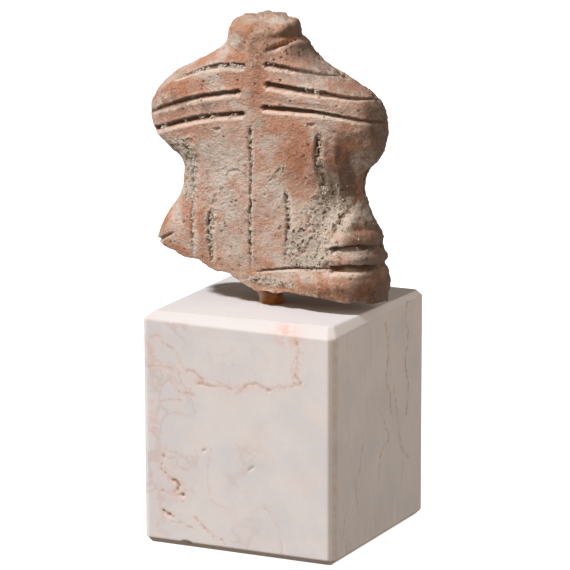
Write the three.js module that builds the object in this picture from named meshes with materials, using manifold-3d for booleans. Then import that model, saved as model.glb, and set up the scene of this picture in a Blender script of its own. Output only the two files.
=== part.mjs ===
// Broken terracotta torso of a neolithic figurine, stuck by a bead of old adhesive to a limestone block.
// Millimetres, +Z up, the front faces -Y. The origin is the centre of the block's underside.
import * as THREE from 'three';
import { mergeVertices } from 'three/addons/utils/BufferGeometryUtils.js';
import Module from 'manifold-3d';

const wasm = await Module();
wasm.setup();

// Limestone block, with hand-ground bevels
const plinthWidth = 50;
const plinthDepth = 52;
const plinthHeight = 56.3;
const arrisChamfer = 1.5;
const headChamfer = 0.8;
const footChamfer = 0.4;
const underBevel = 1.4;
const topBevelDrop = { frontLeft: 2, frontRight: 2.4, back: 1.3 };
const topInset = {
  frontLeft: 1.3,
  frontRight: 3,
  rightFront: 2,
  rightBack: 1,
  back: 1.8,
  leftBack: 0.4,
  leftFront: 2.8,
};

// Chip out of the block's lower front edge
const chipWidth = 4.8;
const chipHeight = 3.4;
const chipDepth = 1.8;
const chipFromLeft = 11.5;

// Torso: its height, and where it stands over the block
const torsoHeight = 65.2;
const torsoLift = 3.9;
const torsoX = -3;
const torsoY = -2;

// Adhesive bead
const beadRadius = 3.2;
const beadX = -0.9;
const beadY = -3.5;
const beadTopRoom = 2;
const touchGap = 0.3;

// The torso's own proportions are in hundredths of its height, measured from its mid line
// and from the lowest point of its break. One unit of them is this many millimetres.
const unit = torsoHeight / 100;

// Cross sections up the torso: level, half width left and right, depth front and back,
// and how rounded the right front corner is (2 is round, towards 1 is a slanted flank)
const sections = [
  [-3, 46, 47, 13, 14, 2.4],
  [5, 46, 47, 13.5, 15, 2.4],
  [14.5, 45, 45.5, 14.5, 15, 2.3],
  [23.5, 40.5, 43.5, 15, 14, 1.8],
  [31, 35.5, 39.5, 15, 12.5, 1.3],
  [39, 33.5, 37.5, 15, 11.5, 1.25],
  [45, 34.5, 39.5, 15, 11.5, 1.45],
  [49.5, 40, 43.5, 15, 12, 1.8],
  [54, 45.5, 45.7, 15, 12.5, 2],
  [62, 47.5, 46.4, 15, 13, 2],
  [69.5, 44.5, 43.6, 14.5, 13, 2],
  [76, 37.5, 34.2, 14, 12.5, 2],
  [80, 30, 25.6, 13.5, 12, 2],
  [84, 22, 19.4, 13, 11, 2],
  [88, 16.5, 15.5, 12, 10.5, 2],
  [93, 14.5, 12, 11.5, 10, 2],
  [101, 11.5, 11, 10.5, 9, 2],
];
const frontFlatness = 3;
const backFlatness = 2.4;

// Swellings and hollows of the front: centre across and up, reach across and up, height
const swellings = [
  { across: 38, up: 12, reachAcross: 12, reachUp: 13, height: 3 },
  { across: 28, up: -3, reachAcross: 20, reachUp: 9, height: 5 },
  { across: 35, up: 41, reachAcross: 8, reachUp: 9, height: -2.5 },
  { across: -38, up: 19, reachAcross: 9, reachUp: 9, height: 1.5 },
  { across: 0, up: 82, reachAcross: 5, reachUp: 12, height: 1 },
];

// The break across the hips rises to the left of this place and arches a little to the right
const breakTurn = 1.5;
const breakRise = 1.5;
const breakCurve = 0.62;
const breakArch = 1.8;
const breakArchWidth = 34;
const breakToBack = 0.06;

// Low ripples of both broken surfaces: height, and length from crest to crest
const rippleHeight = 0.5;
const rippleLength = 13;

// The broken neck is nearly level up to its plateau's edge and slopes down in front of it
const neckTop = 97.4;
const neckPlateau = 5;
const neckPlateauFall = 0.1;
const neckFrontFall = 0.34;
const neckLeftFall = 0.003;
const neckRightFall = 0.012;

// Incised lines of the front, each through its points (across, up), with width and depth
const shoulderLine = { width: 3, depth: 2, fadeIn: 0.02, fadeOut: 0.25 };
const bodyLine = { width: 1.7, depth: 1.2, fadeIn: 0.08, fadeOut: 0.2 };
const faintLine = { width: 1.5, depth: 0.8, fadeIn: 0.25, fadeOut: 0.35 };
const cutterRise = 1.2;
const slopeStep = 0.4;
const frontLines = [
  { points: [[-2, 81.8], [-14, 81], [-33.5, 74.8]], ...shoulderLine, width: 2.4, depth: 1.3 },
  { points: [[-4.4, 72.5], [-23, 69], [-45, 61.5]], ...shoulderLine, fadeOut: 0.05 },
  { points: [[-2.6, 64.7], [-18.5, 62.4], [-45, 54.8]], ...shoulderLine, fadeOut: 0.05 },
  { points: [[4.2, 82.6], [16, 81.2], [29.5, 78.1]], ...shoulderLine },
  { points: [[4.5, 75.6], [21, 74], [43.5, 71]], ...shoulderLine },
  { points: [[3.6, 67.4], [28, 66.1], [44, 62.9]], ...shoulderLine, depth: 2.4 },
  { points: [[4.8, 87.7], [9.5, 89.8], [14, 91.4]], ...shoulderLine, width: 2.6, fadeOut: 0.05 },
  { points: [[-13.5, 88], [-6, 85.8]], ...faintLine },
  { points: [[-0.4, 60], [-0.2, 45], [-0.8, 9]], ...bodyLine, depth: 1.5 },
  { points: [[-27.8, 52], [-26, 47.5], [-25.4, 30], [-24.7, 11]], ...bodyLine },
  { points: [[-16.3, 28], [-18, 20], [-17.1, 10]], ...bodyLine },
  { points: [[25.6, 58.8], [25.1, 50], [26.2, 37]], ...bodyLine, depth: 1.6 },
  { points: [[13.6, 35], [14.4, 24], [13, 14]], ...bodyLine },
  { points: [[31, 17.6], [36, 18.4], [43.5, 17.8]], ...shoulderLine },
  { points: [[31, 10.8], [35, 11.4], [44, 11]], ...shoulderLine },
  { points: [[34.5, 24.7], [41.5, 21.7]], ...faintLine },
  { points: [[36, 34.5], [33, 27], [30.5, 18.5]], ...bodyLine },
  { points: [[2, 7.4], [22, 9.2], [31, 10.8]], ...bodyLine, fadeOut: 0.05 },
  { points: [[-44, 13.2], [-40, 15.2], [-33, 18.6]], ...bodyLine },
  { points: [[-36, 27.5], [-29, 21.5]], ...faintLine },
];

// Lines of the back: the shoulder lines come over the arm stubs, and one line follows the spine
const backShoulderLevels = [64, 72.5];
const backLineReach = 42;
const backLineStart = 6;
const backLineDrop = 7;
const spineTop = 60;
const spineFoot = 14;

// Fineness of the faceted surface
const pointsAcrossFront = 28;
const pointsAcrossBack = 14;
const ringsPerSection = 3;
const capRings = 3;
const lineSteps = 6;
const edgeSteps = 10;
const beadSides = 20;
const settleRounds = 12;

const terracotta = new THREE.MeshStandardMaterial({ color: 0xb28068, roughness: 0.95, metalness: 0 });
const limestone = new THREE.MeshStandardMaterial({ color: 0xdbd1c8, roughness: 0.75, metalness: 0 });
const amber = new THREE.MeshStandardMaterial({ color: 0x7a4a1c, roughness: 0.2, metalness: 0 });

function solidFrom(geometry) {
  const bare = geometry.clone();
  bare.deleteAttribute('normal');
  bare.deleteAttribute('uv');
  const merged = mergeVertices(bare, 1e-5);
  const mesh = new wasm.Mesh({
    numProp: 3,
    vertProperties: new Float32Array(merged.attributes.position.array),
    triVerts: new Uint32Array(merged.index.array),
  });
  return new wasm.Manifold(mesh);
}

function geometryFrom(solid) {
  const mesh = solid.getMesh();
  const geometry = new THREE.BufferGeometry();
  geometry.setAttribute('position', new THREE.BufferAttribute(mesh.vertProperties, 3));
  geometry.setIndex(new THREE.BufferAttribute(mesh.triVerts, 1));
  return geometry;
}

// A closed skin over a stack of rings with the same number of points, closed at both ends by a point
function skinOver(rings, footPoint, headPoint) {
  const count = rings[0].length;
  const positions = rings.flat().flatMap((point) => point.toArray());
  positions.push(...footPoint.toArray(), ...headPoint.toArray());
  const foot = rings.length * count;
  const head = foot + 1;
  const faces = [];
  for (let j = 0; j < count; j += 1) {
    const next = (j + 1) % count;
    faces.push(foot, next, j);
    for (let i = 0; i < rings.length - 1; i += 1) {
      const low = i * count;
      const high = low + count;
      faces.push(low + j, low + next, high + next, low + j, high + next, high + j);
    }
    const top = (rings.length - 1) * count;
    faces.push(head, top + j, top + next);
  }
  const geometry = new THREE.BufferGeometry();
  geometry.setAttribute('position', new THREE.Float32BufferAttribute(positions, 3));
  geometry.setIndex(faces);
  return geometry;
}

// The section at a level, eased smoothly between the listed ones
function sectionAt(level) {
  const last = sections.length - 1;
  let i = 0;
  while (i < last - 1 && sections[i + 1][0] < level) i += 1;
  const before = sections[Math.max(i - 1, 0)];
  const low = sections[i];
  const high = sections[i + 1];
  const after = sections[Math.min(i + 2, last)];
  const span = high[0] - low[0];
  const t = THREE.MathUtils.clamp((level - low[0]) / span, 0, 1);
  const values = low.map((value, k) => {
    const lowSlope = ((high[k] - before[k]) / (high[0] - before[0])) * span;
    const highSlope = ((after[k] - low[k]) / (after[0] - low[0])) * span;
    const a = 2 * value - 2 * high[k] + lowSlope + highSlope;
    const b = 3 * high[k] - 3 * value - 2 * lowSlope - highSlope;
    return ((a * t + b) * t + lowSlope) * t + value;
  });
  return { left: values[1], right: values[2], front: values[3], back: values[4], slant: values[5] };
}

function swellingAt(across, up) {
  return swellings.reduce((sum, form) => {
    const x = (across - form.across) / form.reachAcross;
    const z = (up - form.up) / form.reachUp;
    return sum + form.height * Math.exp(-(x * x + z * z));
  }, 0);
}

// How far the skin stands in front of the torso's middle plane, at a place across and up
function frontDepth(across, up) {
  const form = sectionAt(up);
  const half = across > 0 ? form.right : form.left;
  const corner = across > 0 ? form.slant : 2;
  const share = Math.max(1 - Math.abs(across / half) ** frontFlatness, 0) ** (1 / corner);
  return form.front * share + swellingAt(across, up) * Math.sqrt(share);
}

function backDepth(across, up) {
  const form = sectionAt(up);
  const half = across > 0 ? form.right : form.left;
  const share = Math.max(1 - Math.abs(across / half) ** backFlatness, 0) ** (1 / 2);
  return form.back * share;
}

// A point on the skin: turn 0 is the right flank, a quarter the back, a half the left flank
function skinPoint(turn, up) {
  const form = sectionAt(up);
  const c = Math.cos(turn * 2 * Math.PI);
  const s = Math.sin(turn * 2 * Math.PI);
  const flatness = s < 0 ? frontFlatness : backFlatness;
  const half = c > 0 ? form.right : form.left;
  const across = Math.sign(c) * half * Math.abs(c) ** (2 / flatness);
  const depth = s < 0 ? -frontDepth(across, up) : backDepth(across, up);
  return new THREE.Vector3(across, depth, up);
}

function ripple(across, depth) {
  const phase = (2 * Math.PI) / rippleLength;
  return rippleHeight * Math.sin(across * phase) * Math.cos(depth * phase);
}

function breakLevel(across, depth) {
  const toLeft = Math.max(breakTurn - across, 0);
  const toRight = Math.max(across - breakTurn, 0);
  const rise = breakRise * ((toLeft + 1) ** breakCurve - 1);
  const arch = breakArch * Math.sin((Math.PI * toRight) / breakArchWidth);
  return rise + arch + breakToBack * depth + ripple(across, depth);
}

function neckLevel(across, depth) {
  const sideFall = across < 0 ? neckLeftFall : neckRightFall;
  const ahead = Math.max(-depth, 0);
  const fall = neckPlateauFall * ahead + neckFrontFall * Math.max(ahead - neckPlateau, 0);
  return neckTop - fall - sideFall * across * across + ripple(across, depth);
}

// The level at which a line up the skin meets one of the two breaks
function meetBreak(turn, startLevel, levelAt) {
  let level = startLevel;
  for (let i = 0; i < settleRounds; i += 1) {
    const point = skinPoint(turn, level);
    level = levelAt(point.x, point.y);
  }
  return level;
}

function turnsAround() {
  const back = Array.from({ length: pointsAcrossBack }, (_, i) => (0.5 * i) / pointsAcrossBack);
  const front = Array.from({ length: pointsAcrossFront }, (_, i) => 0.5 + (0.5 * i) / pointsAcrossFront);
  return [...back, ...front];
}

function ringLevels() {
  const levels = [];
  for (let i = 0; i < sections.length - 1; i += 1) {
    for (let k = 0; k < ringsPerSection; k += 1) {
      levels.push(THREE.MathUtils.lerp(sections[i][0], sections[i + 1][0], k / ringsPerSection));
    }
  }
  levels.push(sections[sections.length - 1][0]);
  return levels;
}

// Rings that draw a broken end together, from its rim to its middle
function capOver(rim, levelAt) {
  const middle = new THREE.Vector3();
  rim.forEach((point) => middle.addScaledVector(point, 1 / rim.length));
  middle.z = levelAt(middle.x, middle.y);
  const rings = [];
  for (let k = 1; k <= capRings; k += 1) {
    const share = k / (capRings + 1);
    rings.push(rim.map((point) => {
      const inner = point.clone().lerp(middle, share);
      inner.z = levelAt(inner.x, inner.y);
      return inner;
    }));
  }
  return { rings, middle };
}

function torsoBody() {
  const levels = ringLevels();
  const lowest = levels[0];
  const highest = levels[levels.length - 1];
  const columns = turnsAround().map((turn) => {
    const foot = meetBreak(turn, lowest, breakLevel);
    const head = meetBreak(turn, highest, neckLevel);
    return levels.map((level) => {
      const share = (level - lowest) / (highest - lowest);
      return skinPoint(turn, THREE.MathUtils.lerp(foot, head, share));
    });
  });
  const rings = levels.map((_, i) => columns.map((column) => column[i]));
  const under = capOver(rings[0], breakLevel);
  const over = capOver(rings[rings.length - 1], neckLevel);
  const stack = [...under.rings.reverse(), ...rings, ...over.rings];
  return skinOver(stack, under.middle, over.middle);
}

// A wedge swept along an incised line: steep on its upper side, sloping on its lower side
function lineCutter(line, depthAt, facing) {
  const path = new THREE.CatmullRomCurve3(line.points.map(([x, z]) => new THREE.Vector3(x, 0, z)));
  const onSkin = (place) => new THREE.Vector3(place.x, facing * depthAt(place.x, place.z), place.z);
  const rings = [];
  for (let i = 0; i <= lineSteps; i += 1) {
    const t = i / lineSteps;
    const place = path.getPointAt(t);
    const point = onSkin(place);
    const across = onSkin(new THREE.Vector3(place.x + slopeStep, 0, place.z)).sub(point);
    const upward = onSkin(new THREE.Vector3(place.x, 0, place.z + slopeStep)).sub(point);
    const outward = across.cross(upward).normalize().multiplyScalar(-facing);
    const along = path.getTangentAt(t);
    const upperSide = new THREE.Vector3().crossVectors(outward, along).normalize();
    const fade = Math.min(1, t / line.fadeIn, (1 - t) / line.fadeOut);
    const lifted = line.depth * (1 - Math.max(fade, 0));
    const corners = [
      [-0.5 * (line.width + cutterRise), cutterRise],
      [-0.1 * line.width, -line.depth],
      [0.35 * line.width, -line.depth],
      [0.5 * line.width, cutterRise],
    ];
    rings.push(corners.map(([side, out]) => point.clone()
      .addScaledVector(upperSide, side)
      .addScaledVector(outward, out + lifted)));
  }
  const middleOf = (ring) => {
    const middle = new THREE.Vector3();
    ring.forEach((point) => middle.addScaledVector(point, 0.25));
    return middle;
  };
  return skinOver(rings, middleOf(rings[0]), middleOf(rings[rings.length - 1]));
}

function backLines() {
  const spine = { points: [[0, spineTop], [0, spineFoot]], ...bodyLine };
  const lines = [spine];
  backShoulderLevels.forEach((level) => {
    [-1, 1].forEach((side) => {
      const near = [side * backLineStart, level];
      const far = [side * backLineReach, level - backLineDrop];
      lines.push({ points: [near, far], ...bodyLine });
    });
  });
  return lines;
}

function torsoGeometry() {
  let solid = solidFrom(torsoBody());
  frontLines.forEach((line) => {
    solid = solid.subtract(solidFrom(lineCutter(line, frontDepth, -1)));
  });
  backLines().forEach((line) => {
    solid = solid.subtract(solidFrom(lineCutter(line, backDepth, 1)));
  });
  return geometryFrom(solid).scale(unit, unit, unit);
}

// One ring of the block, its corners cut off by a chamfer and, where it is given, sunk by a drop at
// each corner. The hand-ground top bevel grows towards the front and is widest at the front right, so
// the long edges have steps in them for that slow twist.
function plinthRing(insets, chamfer, level, drop = evenDrop(0)) {
  const backEdge = plinthDepth / 2 - insets.back;
  const rightBack = plinthWidth / 2 - insets.rightBack;
  const rightFront = plinthWidth / 2 - insets.rightFront;
  const leftBack = insets.leftBack - plinthWidth / 2;
  const leftFront = insets.leftFront - plinthWidth / 2;
  const frontLeft = insets.frontLeft - plinthDepth / 2;
  const frontRight = insets.frontRight - plinthDepth / 2;
  const at = (x, y, fall) => new THREE.Vector3(x, y, level - fall);
  const along = (start, end) =>
    Array.from({ length: edgeSteps + 1 }, (_, i) => start.clone().lerp(end, i / edgeSteps));
  return [
    at(rightBack - chamfer, backEdge, drop.back),
    at(leftBack + chamfer, backEdge, drop.back),
    ...along(
      at(leftBack, backEdge - chamfer, drop.back),
      at(leftFront, frontLeft + chamfer, drop.frontLeft),
    ),
    ...along(
      at(leftFront + chamfer, frontLeft, drop.frontLeft),
      at(rightFront - chamfer, frontRight, drop.frontRight),
    ),
    ...along(
      at(rightFront, frontRight + chamfer, drop.frontRight),
      at(rightBack, backEdge - chamfer, drop.back),
    ),
  ];
}

function evenInset(size) {
  return {
    frontLeft: size,
    frontRight: size,
    rightFront: size,
    rightBack: size,
    back: size,
    leftBack: size,
    leftFront: size,
  };
}

function evenDrop(size) {
  return { frontLeft: size, frontRight: size, back: size };
}

function plinthGeometry() {
  const rings = [
    plinthRing(evenInset(underBevel), footChamfer, 0),
    plinthRing(evenInset(0), arrisChamfer, underBevel),
    plinthRing(evenInset(0), arrisChamfer, plinthHeight, topBevelDrop),
    plinthRing(topInset, headChamfer, plinthHeight),
  ];
  const foot = new THREE.Vector3(0, 0, 0);
  const head = new THREE.Vector3(0, 0, plinthHeight);
  const chip = new THREE.IcosahedronGeometry(0.5, 1);
  chip.scale(chipWidth, chipDepth, chipHeight);
  chip.translate(chipFromLeft - plinthWidth / 2, -plinthDepth / 2, 0);
  return geometryFrom(solidFrom(skinOver(rings, foot, head)).subtract(solidFrom(chip)));
}

// A squeezed drop: wide where it wets the block and the clay, narrower between them
function beadGeometry(torsoAbove) {
  const height = torsoLift + beadTopRoom;
  const profile = [[0, 0], [1.08, 0], [0.92, 0.18], [0.9, 0.4], [1.06, 0.62], [1.3, 0.8], [1.3, 1], [0, 1]];
  const points = profile.map(([r, z]) => new THREE.Vector2(r * beadRadius, z * height));
  const bead = new THREE.LatheGeometry(points, beadSides).rotateX(Math.PI / 2);
  bead.translate(beadX, beadY, plinthHeight);
  return geometryFrom(solidFrom(bead).subtract(solidFrom(torsoAbove)));
}

function named(name, geometry, material) {
  const mesh = new THREE.Mesh(geometry, material);
  mesh.name = name;
  return mesh;
}

const torsoShape = torsoGeometry();
const torso = named('torso', torsoShape, terracotta);
torso.position.set(torsoX, torsoY, plinthHeight + torsoLift);

const torsoWithGap = torsoShape.clone().translate(torsoX, torsoY, plinthHeight + torsoLift - touchGap);
const glueBead = named('glue_bead', beadGeometry(torsoWithGap), amber);
const plinth = named('plinth', plinthGeometry(), limestone);

const figurine = new THREE.Group();
figurine.add(torso, glueBead, plinth);

export default figurine;
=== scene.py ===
# Neolithic figurine: a broken terracotta torso, stuck by a bead of old adhesive to a limestone block
import math

import bpy
import numpy as np
from mathutils import Matrix, Vector


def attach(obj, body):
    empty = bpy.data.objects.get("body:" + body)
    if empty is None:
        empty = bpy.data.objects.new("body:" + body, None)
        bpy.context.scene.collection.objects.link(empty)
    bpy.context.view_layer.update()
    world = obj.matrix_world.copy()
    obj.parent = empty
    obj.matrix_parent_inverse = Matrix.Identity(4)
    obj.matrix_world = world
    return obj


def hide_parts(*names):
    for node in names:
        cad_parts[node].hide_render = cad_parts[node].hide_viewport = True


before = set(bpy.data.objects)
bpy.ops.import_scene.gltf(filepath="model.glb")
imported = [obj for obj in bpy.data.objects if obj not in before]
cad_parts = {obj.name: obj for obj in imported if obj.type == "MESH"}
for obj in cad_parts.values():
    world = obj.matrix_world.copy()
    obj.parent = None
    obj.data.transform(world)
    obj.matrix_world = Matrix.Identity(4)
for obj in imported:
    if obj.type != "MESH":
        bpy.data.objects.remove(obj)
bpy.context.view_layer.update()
mm = 0.001
scene = bpy.context.scene
scene.view_settings.view_transform = "Standard"

# Small helpers for node trees


def fromSrgb(red, green, blue):
    def linear(value):
        share = value / 255
        return share / 12.92 if share <= 0.04045 else ((share + 0.055) / 1.055) ** 2.4

    return (linear(red), linear(green), linear(blue), 1.0)


def addNode(tree, kind, **settings):
    node = tree.nodes.new(kind)
    for name, value in settings.items():
        setattr(node, name, value)
    return node


def feed(tree, socket, value):
    if isinstance(value, bpy.types.NodeSocket):
        tree.links.new(value, socket)
    else:
        socket.default_value = value


def calc(tree, operation, *values, clamp=False):
    node = addNode(tree, "ShaderNodeMath", operation=operation, use_clamp=clamp)
    for index, value in enumerate(values):
        feed(tree, node.inputs[index], value)
    return node.outputs[0]


def times(tree, first, second, clamp=False):
    return calc(tree, "MULTIPLY", first, second, clamp=clamp)


def plus(tree, first, second):
    return calc(tree, "ADD", first, second)


def minus(tree, first, second):
    return calc(tree, "SUBTRACT", first, second)


def vectorCalc(tree, operation, first, second, output="Vector"):
    node = addNode(tree, "ShaderNodeVectorMath", operation=operation)
    feed(tree, node.inputs[0], first)
    feed(tree, node.inputs["Scale"] if operation == "SCALE" else node.inputs[1], second)
    return node.outputs[output]


def noiseAt(tree, place, scale, detail=3.0, roughness=0.55, distortion=0.0):
    node = addNode(tree, "ShaderNodeTexNoise")
    feed(tree, node.inputs["Vector"], place)
    feed(tree, node.inputs["Scale"], scale)
    feed(tree, node.inputs["Detail"], detail)
    feed(tree, node.inputs["Roughness"], roughness)
    feed(tree, node.inputs["Distortion"], distortion)
    return node.outputs[0]


def cellsAt(tree, place, scale, output="Distance", feature="F1"):
    node = addNode(tree, "ShaderNodeTexVoronoi", feature=feature)
    feed(tree, node.inputs["Vector"], place)
    feed(tree, node.inputs["Scale"], scale)
    return node.outputs[output]


def ramp(tree, value, low, high, toLow=0.0, toHigh=1.0):
    node = addNode(tree, "ShaderNodeMapRange", interpolation_type="SMOOTHSTEP")
    sockets = {"Value": value, "From Min": low, "From Max": high, "To Min": toLow, "To Max": toHigh}
    for name, amount in sockets.items():
        feed(tree, node.inputs[name], amount)
    return node.outputs[0]


def patchAt(tree, place, pattern, least=0.0, most=1.0):
    # soft-edged patches: scale, detail and roughness of a noise, and where on it they fade in
    scale, detail, roughness, low, high = pattern
    return ramp(tree, noiseAt(tree, place, scale, detail, roughness), low, high, least, most)


def driftAt(tree, place, scale, detail, roughness, reach):
    node = addNode(tree, "ShaderNodeTexNoise")
    feed(tree, node.inputs["Vector"], place)
    feed(tree, node.inputs["Scale"], scale)
    feed(tree, node.inputs["Detail"], detail)
    feed(tree, node.inputs["Roughness"], roughness)
    centred = vectorCalc(tree, "SUBTRACT", node.outputs["Color"], (0.5, 0.5, 0.5))
    return vectorCalc(tree, "SCALE", centred, reach)


def blend(tree, amount, first, second):
    node = addNode(tree, "ShaderNodeMix", data_type="RGBA")
    feed(tree, node.inputs["Factor"], amount)
    feed(tree, node.inputs[6], first)
    feed(tree, node.inputs[7], second)
    return node.outputs[2]


def meshObject(name, points, faces, attributes=None):
    mesh = bpy.data.meshes.new(name)
    mesh.from_pydata(points, [], faces)
    for label, values in (attributes or {}).items():
        values = np.asarray(values, dtype=float)
        kind = "FLOAT_VECTOR" if values.ndim == 2 else "FLOAT"
        layer = mesh.attributes.new(label, kind, "POINT")
        layer.data.foreach_set("vector" if values.ndim == 2 else "value", values.ravel())
    mesh.shade_smooth()
    mesh.update()
    made = bpy.data.objects.new(name, mesh)
    scene.collection.objects.link(made)
    return made


def ringFaces(rings, count, offset=0):
    low = np.arange(rings - 1)[:, None] * count + offset
    column = np.arange(count)[None, :]
    following = (column + 1) % count
    quads = np.stack([low + column, low + following, low + count + following, low + count + column], axis=-1)
    return quads.reshape(-1, 4)


def newTree(name, inputs):
    tree = bpy.data.node_groups.new(name, "GeometryNodeTree")
    tree.interface.new_socket("Geometry", in_out="INPUT", socket_type="NodeSocketGeometry")
    for label, kind in inputs.items():
        tree.interface.new_socket(label, in_out="INPUT", socket_type="NodeSocket" + kind)
    tree.interface.new_socket("Geometry", in_out="OUTPUT", socket_type="NodeSocketGeometry")
    return tree, addNode(tree, "NodeGroupInput"), addNode(tree, "NodeGroupOutput")


def applyTree(piece, tree, values):
    modifier = piece.modifiers.new(tree.name, "NODES")
    modifier.node_group = tree
    sockets = {item.name: item.identifier for item in tree.interface.items_tree if item.in_out == "INPUT"}
    for name, value in values.items():
        modifier[sockets[name]] = value
    bpy.context.view_layer.update()
    evaluated = piece.evaluated_get(bpy.context.evaluated_depsgraph_get())
    finished = bpy.data.meshes.new_from_object(evaluated)
    piece.modifiers.remove(modifier)
    piece.data = finished
    return piece


def geometryOf(tree, piece):
    node = addNode(tree, "GeometryNodeObjectInfo", transform_space="ORIGINAL")
    feed(tree, node.inputs["Object"], piece)
    return node.outputs["Geometry"]


def nearestReader(tree, lines, place):
    # gives a function that reads a value at the nearest point of the lines
    nearest = addNode(tree, "GeometryNodeSampleNearest", domain="POINT")
    feed(tree, nearest.inputs["Geometry"], lines)
    feed(tree, nearest.inputs["Sample Position"], place)

    def sampled(value, kind="FLOAT"):
        node = addNode(tree, "GeometryNodeSampleIndex", data_type=kind, domain="POINT")
        feed(tree, node.inputs["Geometry"], lines)
        feed(tree, node.inputs["Value"], value)
        feed(tree, node.inputs["Index"], nearest.outputs["Index"])
        return node.outputs["Value"]

    return sampled


def pushed(tree, geometry, offset):
    node = addNode(tree, "GeometryNodeSetPosition")
    feed(tree, node.inputs["Geometry"], geometry)
    feed(tree, node.inputs["Offset"], offset)
    return node.outputs["Geometry"]


def endTree(tree, geometry, material, result):
    realize = addNode(tree, "GeometryNodeRealizeInstances")
    feed(tree, realize.inputs["Geometry"], geometry)
    finish = addNode(tree, "GeometryNodeSetMaterial")
    feed(tree, finish.inputs["Geometry"], realize.outputs["Geometry"])
    feed(tree, finish.inputs["Material"], material)
    feed(tree, result.inputs["Geometry"], finish.outputs["Geometry"])


def readAttribute(tree, name, kind="FLOAT"):
    node = addNode(tree, "GeometryNodeInputNamedAttribute", data_type=kind)
    node.inputs["Name"].default_value = name
    return node.outputs["Attribute"]


def storeAttribute(tree, geometry, name, value, kind="FLOAT"):
    node = addNode(tree, "GeometryNodeStoreNamedAttribute", data_type=kind, domain="POINT")
    feed(tree, node.inputs["Geometry"], geometry)
    node.inputs["Name"].default_value = name
    feed(tree, node.inputs["Value"], value)
    return node.outputs["Geometry"]


# Camera and light


cameraSetup = {
    "azimuth": 26.0,  # degrees to the right of the front
    "elevation": 11.72,
    "roll": -0.12,
    "distance": 0.7651,
    "aimHeight": 0.05975,
    "lens": 202.98,
}


def makeCamera(setup):
    turn = math.radians(setup["azimuth"])
    rise = math.radians(setup["elevation"])
    back = Vector((math.sin(turn) * math.cos(rise), -math.cos(turn) * math.cos(rise), math.sin(rise)))
    right = Vector((math.cos(turn), math.sin(turn), 0))
    up = back.cross(right)
    roll = math.radians(setup["roll"])
    rolledRight = right * math.cos(roll) + up * math.sin(roll)
    rolledUp = up * math.cos(roll) - right * math.sin(roll)
    place = Vector((0, 0, setup["aimHeight"])) + back * setup["distance"]
    data = bpy.data.cameras.new("camera")
    data.lens = setup["lens"]
    data.clip_start = 0.01
    data.clip_end = 50
    camera = bpy.data.objects.new("camera", data)
    camera.matrix_world = Matrix((rolledRight, rolledUp, back)).transposed().to_4x4()
    camera.location = place
    scene.collection.objects.link(camera)
    scene.camera = camera


lightSetup = {
    "keyFrom": (-0.66, -0.70, 1.0),  # the key stands to the front left and above
    "keyTo": (0.0, 0.0, 0.06),
    "keyStrength": 4.5,
    "keySoftness": 7.0,  # degrees
    "keyColor": (0.91, 0.93, 0.99),
    "skyColor": (1.0, 0.90, 0.80),
    "skyStrength": 0.2,
    "fillFrom": (0.51, -0.25, 0.26),
    "fillTo": (0.0, 0.0, 0.06),
    "fillSize": 0.3,
    "fillPower": 1.21,
    "fillColor": (1.0, 0.89, 0.81),
    "floorGlow": 0.93,
    "floorSize": 8.0,
}


def aimedLight(name, kind, place, target):
    data = bpy.data.lights.new(name, kind)
    lamp = bpy.data.objects.new(name, data)
    lamp.location = place
    lamp.rotation_euler = (Vector(target) - Vector(place)).to_track_quat("-Z", "Y").to_euler()
    lamp.visible_camera = False
    scene.collection.objects.link(lamp)
    return data


def makeLights(setup):
    keyTo = Vector(setup["keyTo"])
    key = aimedLight("keyLight", "SUN", keyTo + Vector(setup["keyFrom"]), keyTo)
    key.energy = setup["keyStrength"]
    key.angle = math.radians(setup["keySoftness"])
    key.color = setup["keyColor"]
    fill = aimedLight("fillLight", "AREA", setup["fillFrom"], setup["fillTo"])
    fill.size = setup["fillSize"]
    fill.energy = setup["fillPower"]
    fill.color = setup["fillColor"]
    world = bpy.data.worlds.new("studio")
    world.use_nodes = True
    background = world.node_tree.nodes["Background"]
    background.inputs["Color"].default_value = (*setup["skyColor"], 1.0)
    background.inputs["Strength"].default_value = setup["skyStrength"]
    scene.world = world


def makeFloor(setup):
    half = setup["floorSize"] / 2
    corners = [(-half, -half, 0), (half, -half, 0), (half, half, 0), (-half, half, 0)]
    floor = meshObject("floor", corners, [(0, 1, 2, 3)])
    material = bpy.data.materials.new("paleFloor")
    material.use_nodes = True
    shader = material.node_tree.nodes["Principled BSDF"]
    shader.inputs["Base Color"].default_value = (0.3, 0.3, 0.3, 1)
    shader.inputs["Roughness"].default_value = 0.9
    shader.inputs["Specular IOR Level"].default_value = 0.0
    shader.inputs["Emission Color"].default_value = (1, 1, 1, 1)
    shader.inputs["Emission Strength"].default_value = setup["floorGlow"]
    floor.data.materials.append(material)
    floor.visible_diffuse = False  # the block and torso are lit by the studio, not by the bright floor


makeCamera(cameraSetup)
makeLights(lightSetup)
makeFloor(lightSetup)
print("camera, lights and floor made")

# Torso: its proportions are in hundredths of its height, from its mid line and its lowest point


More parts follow.
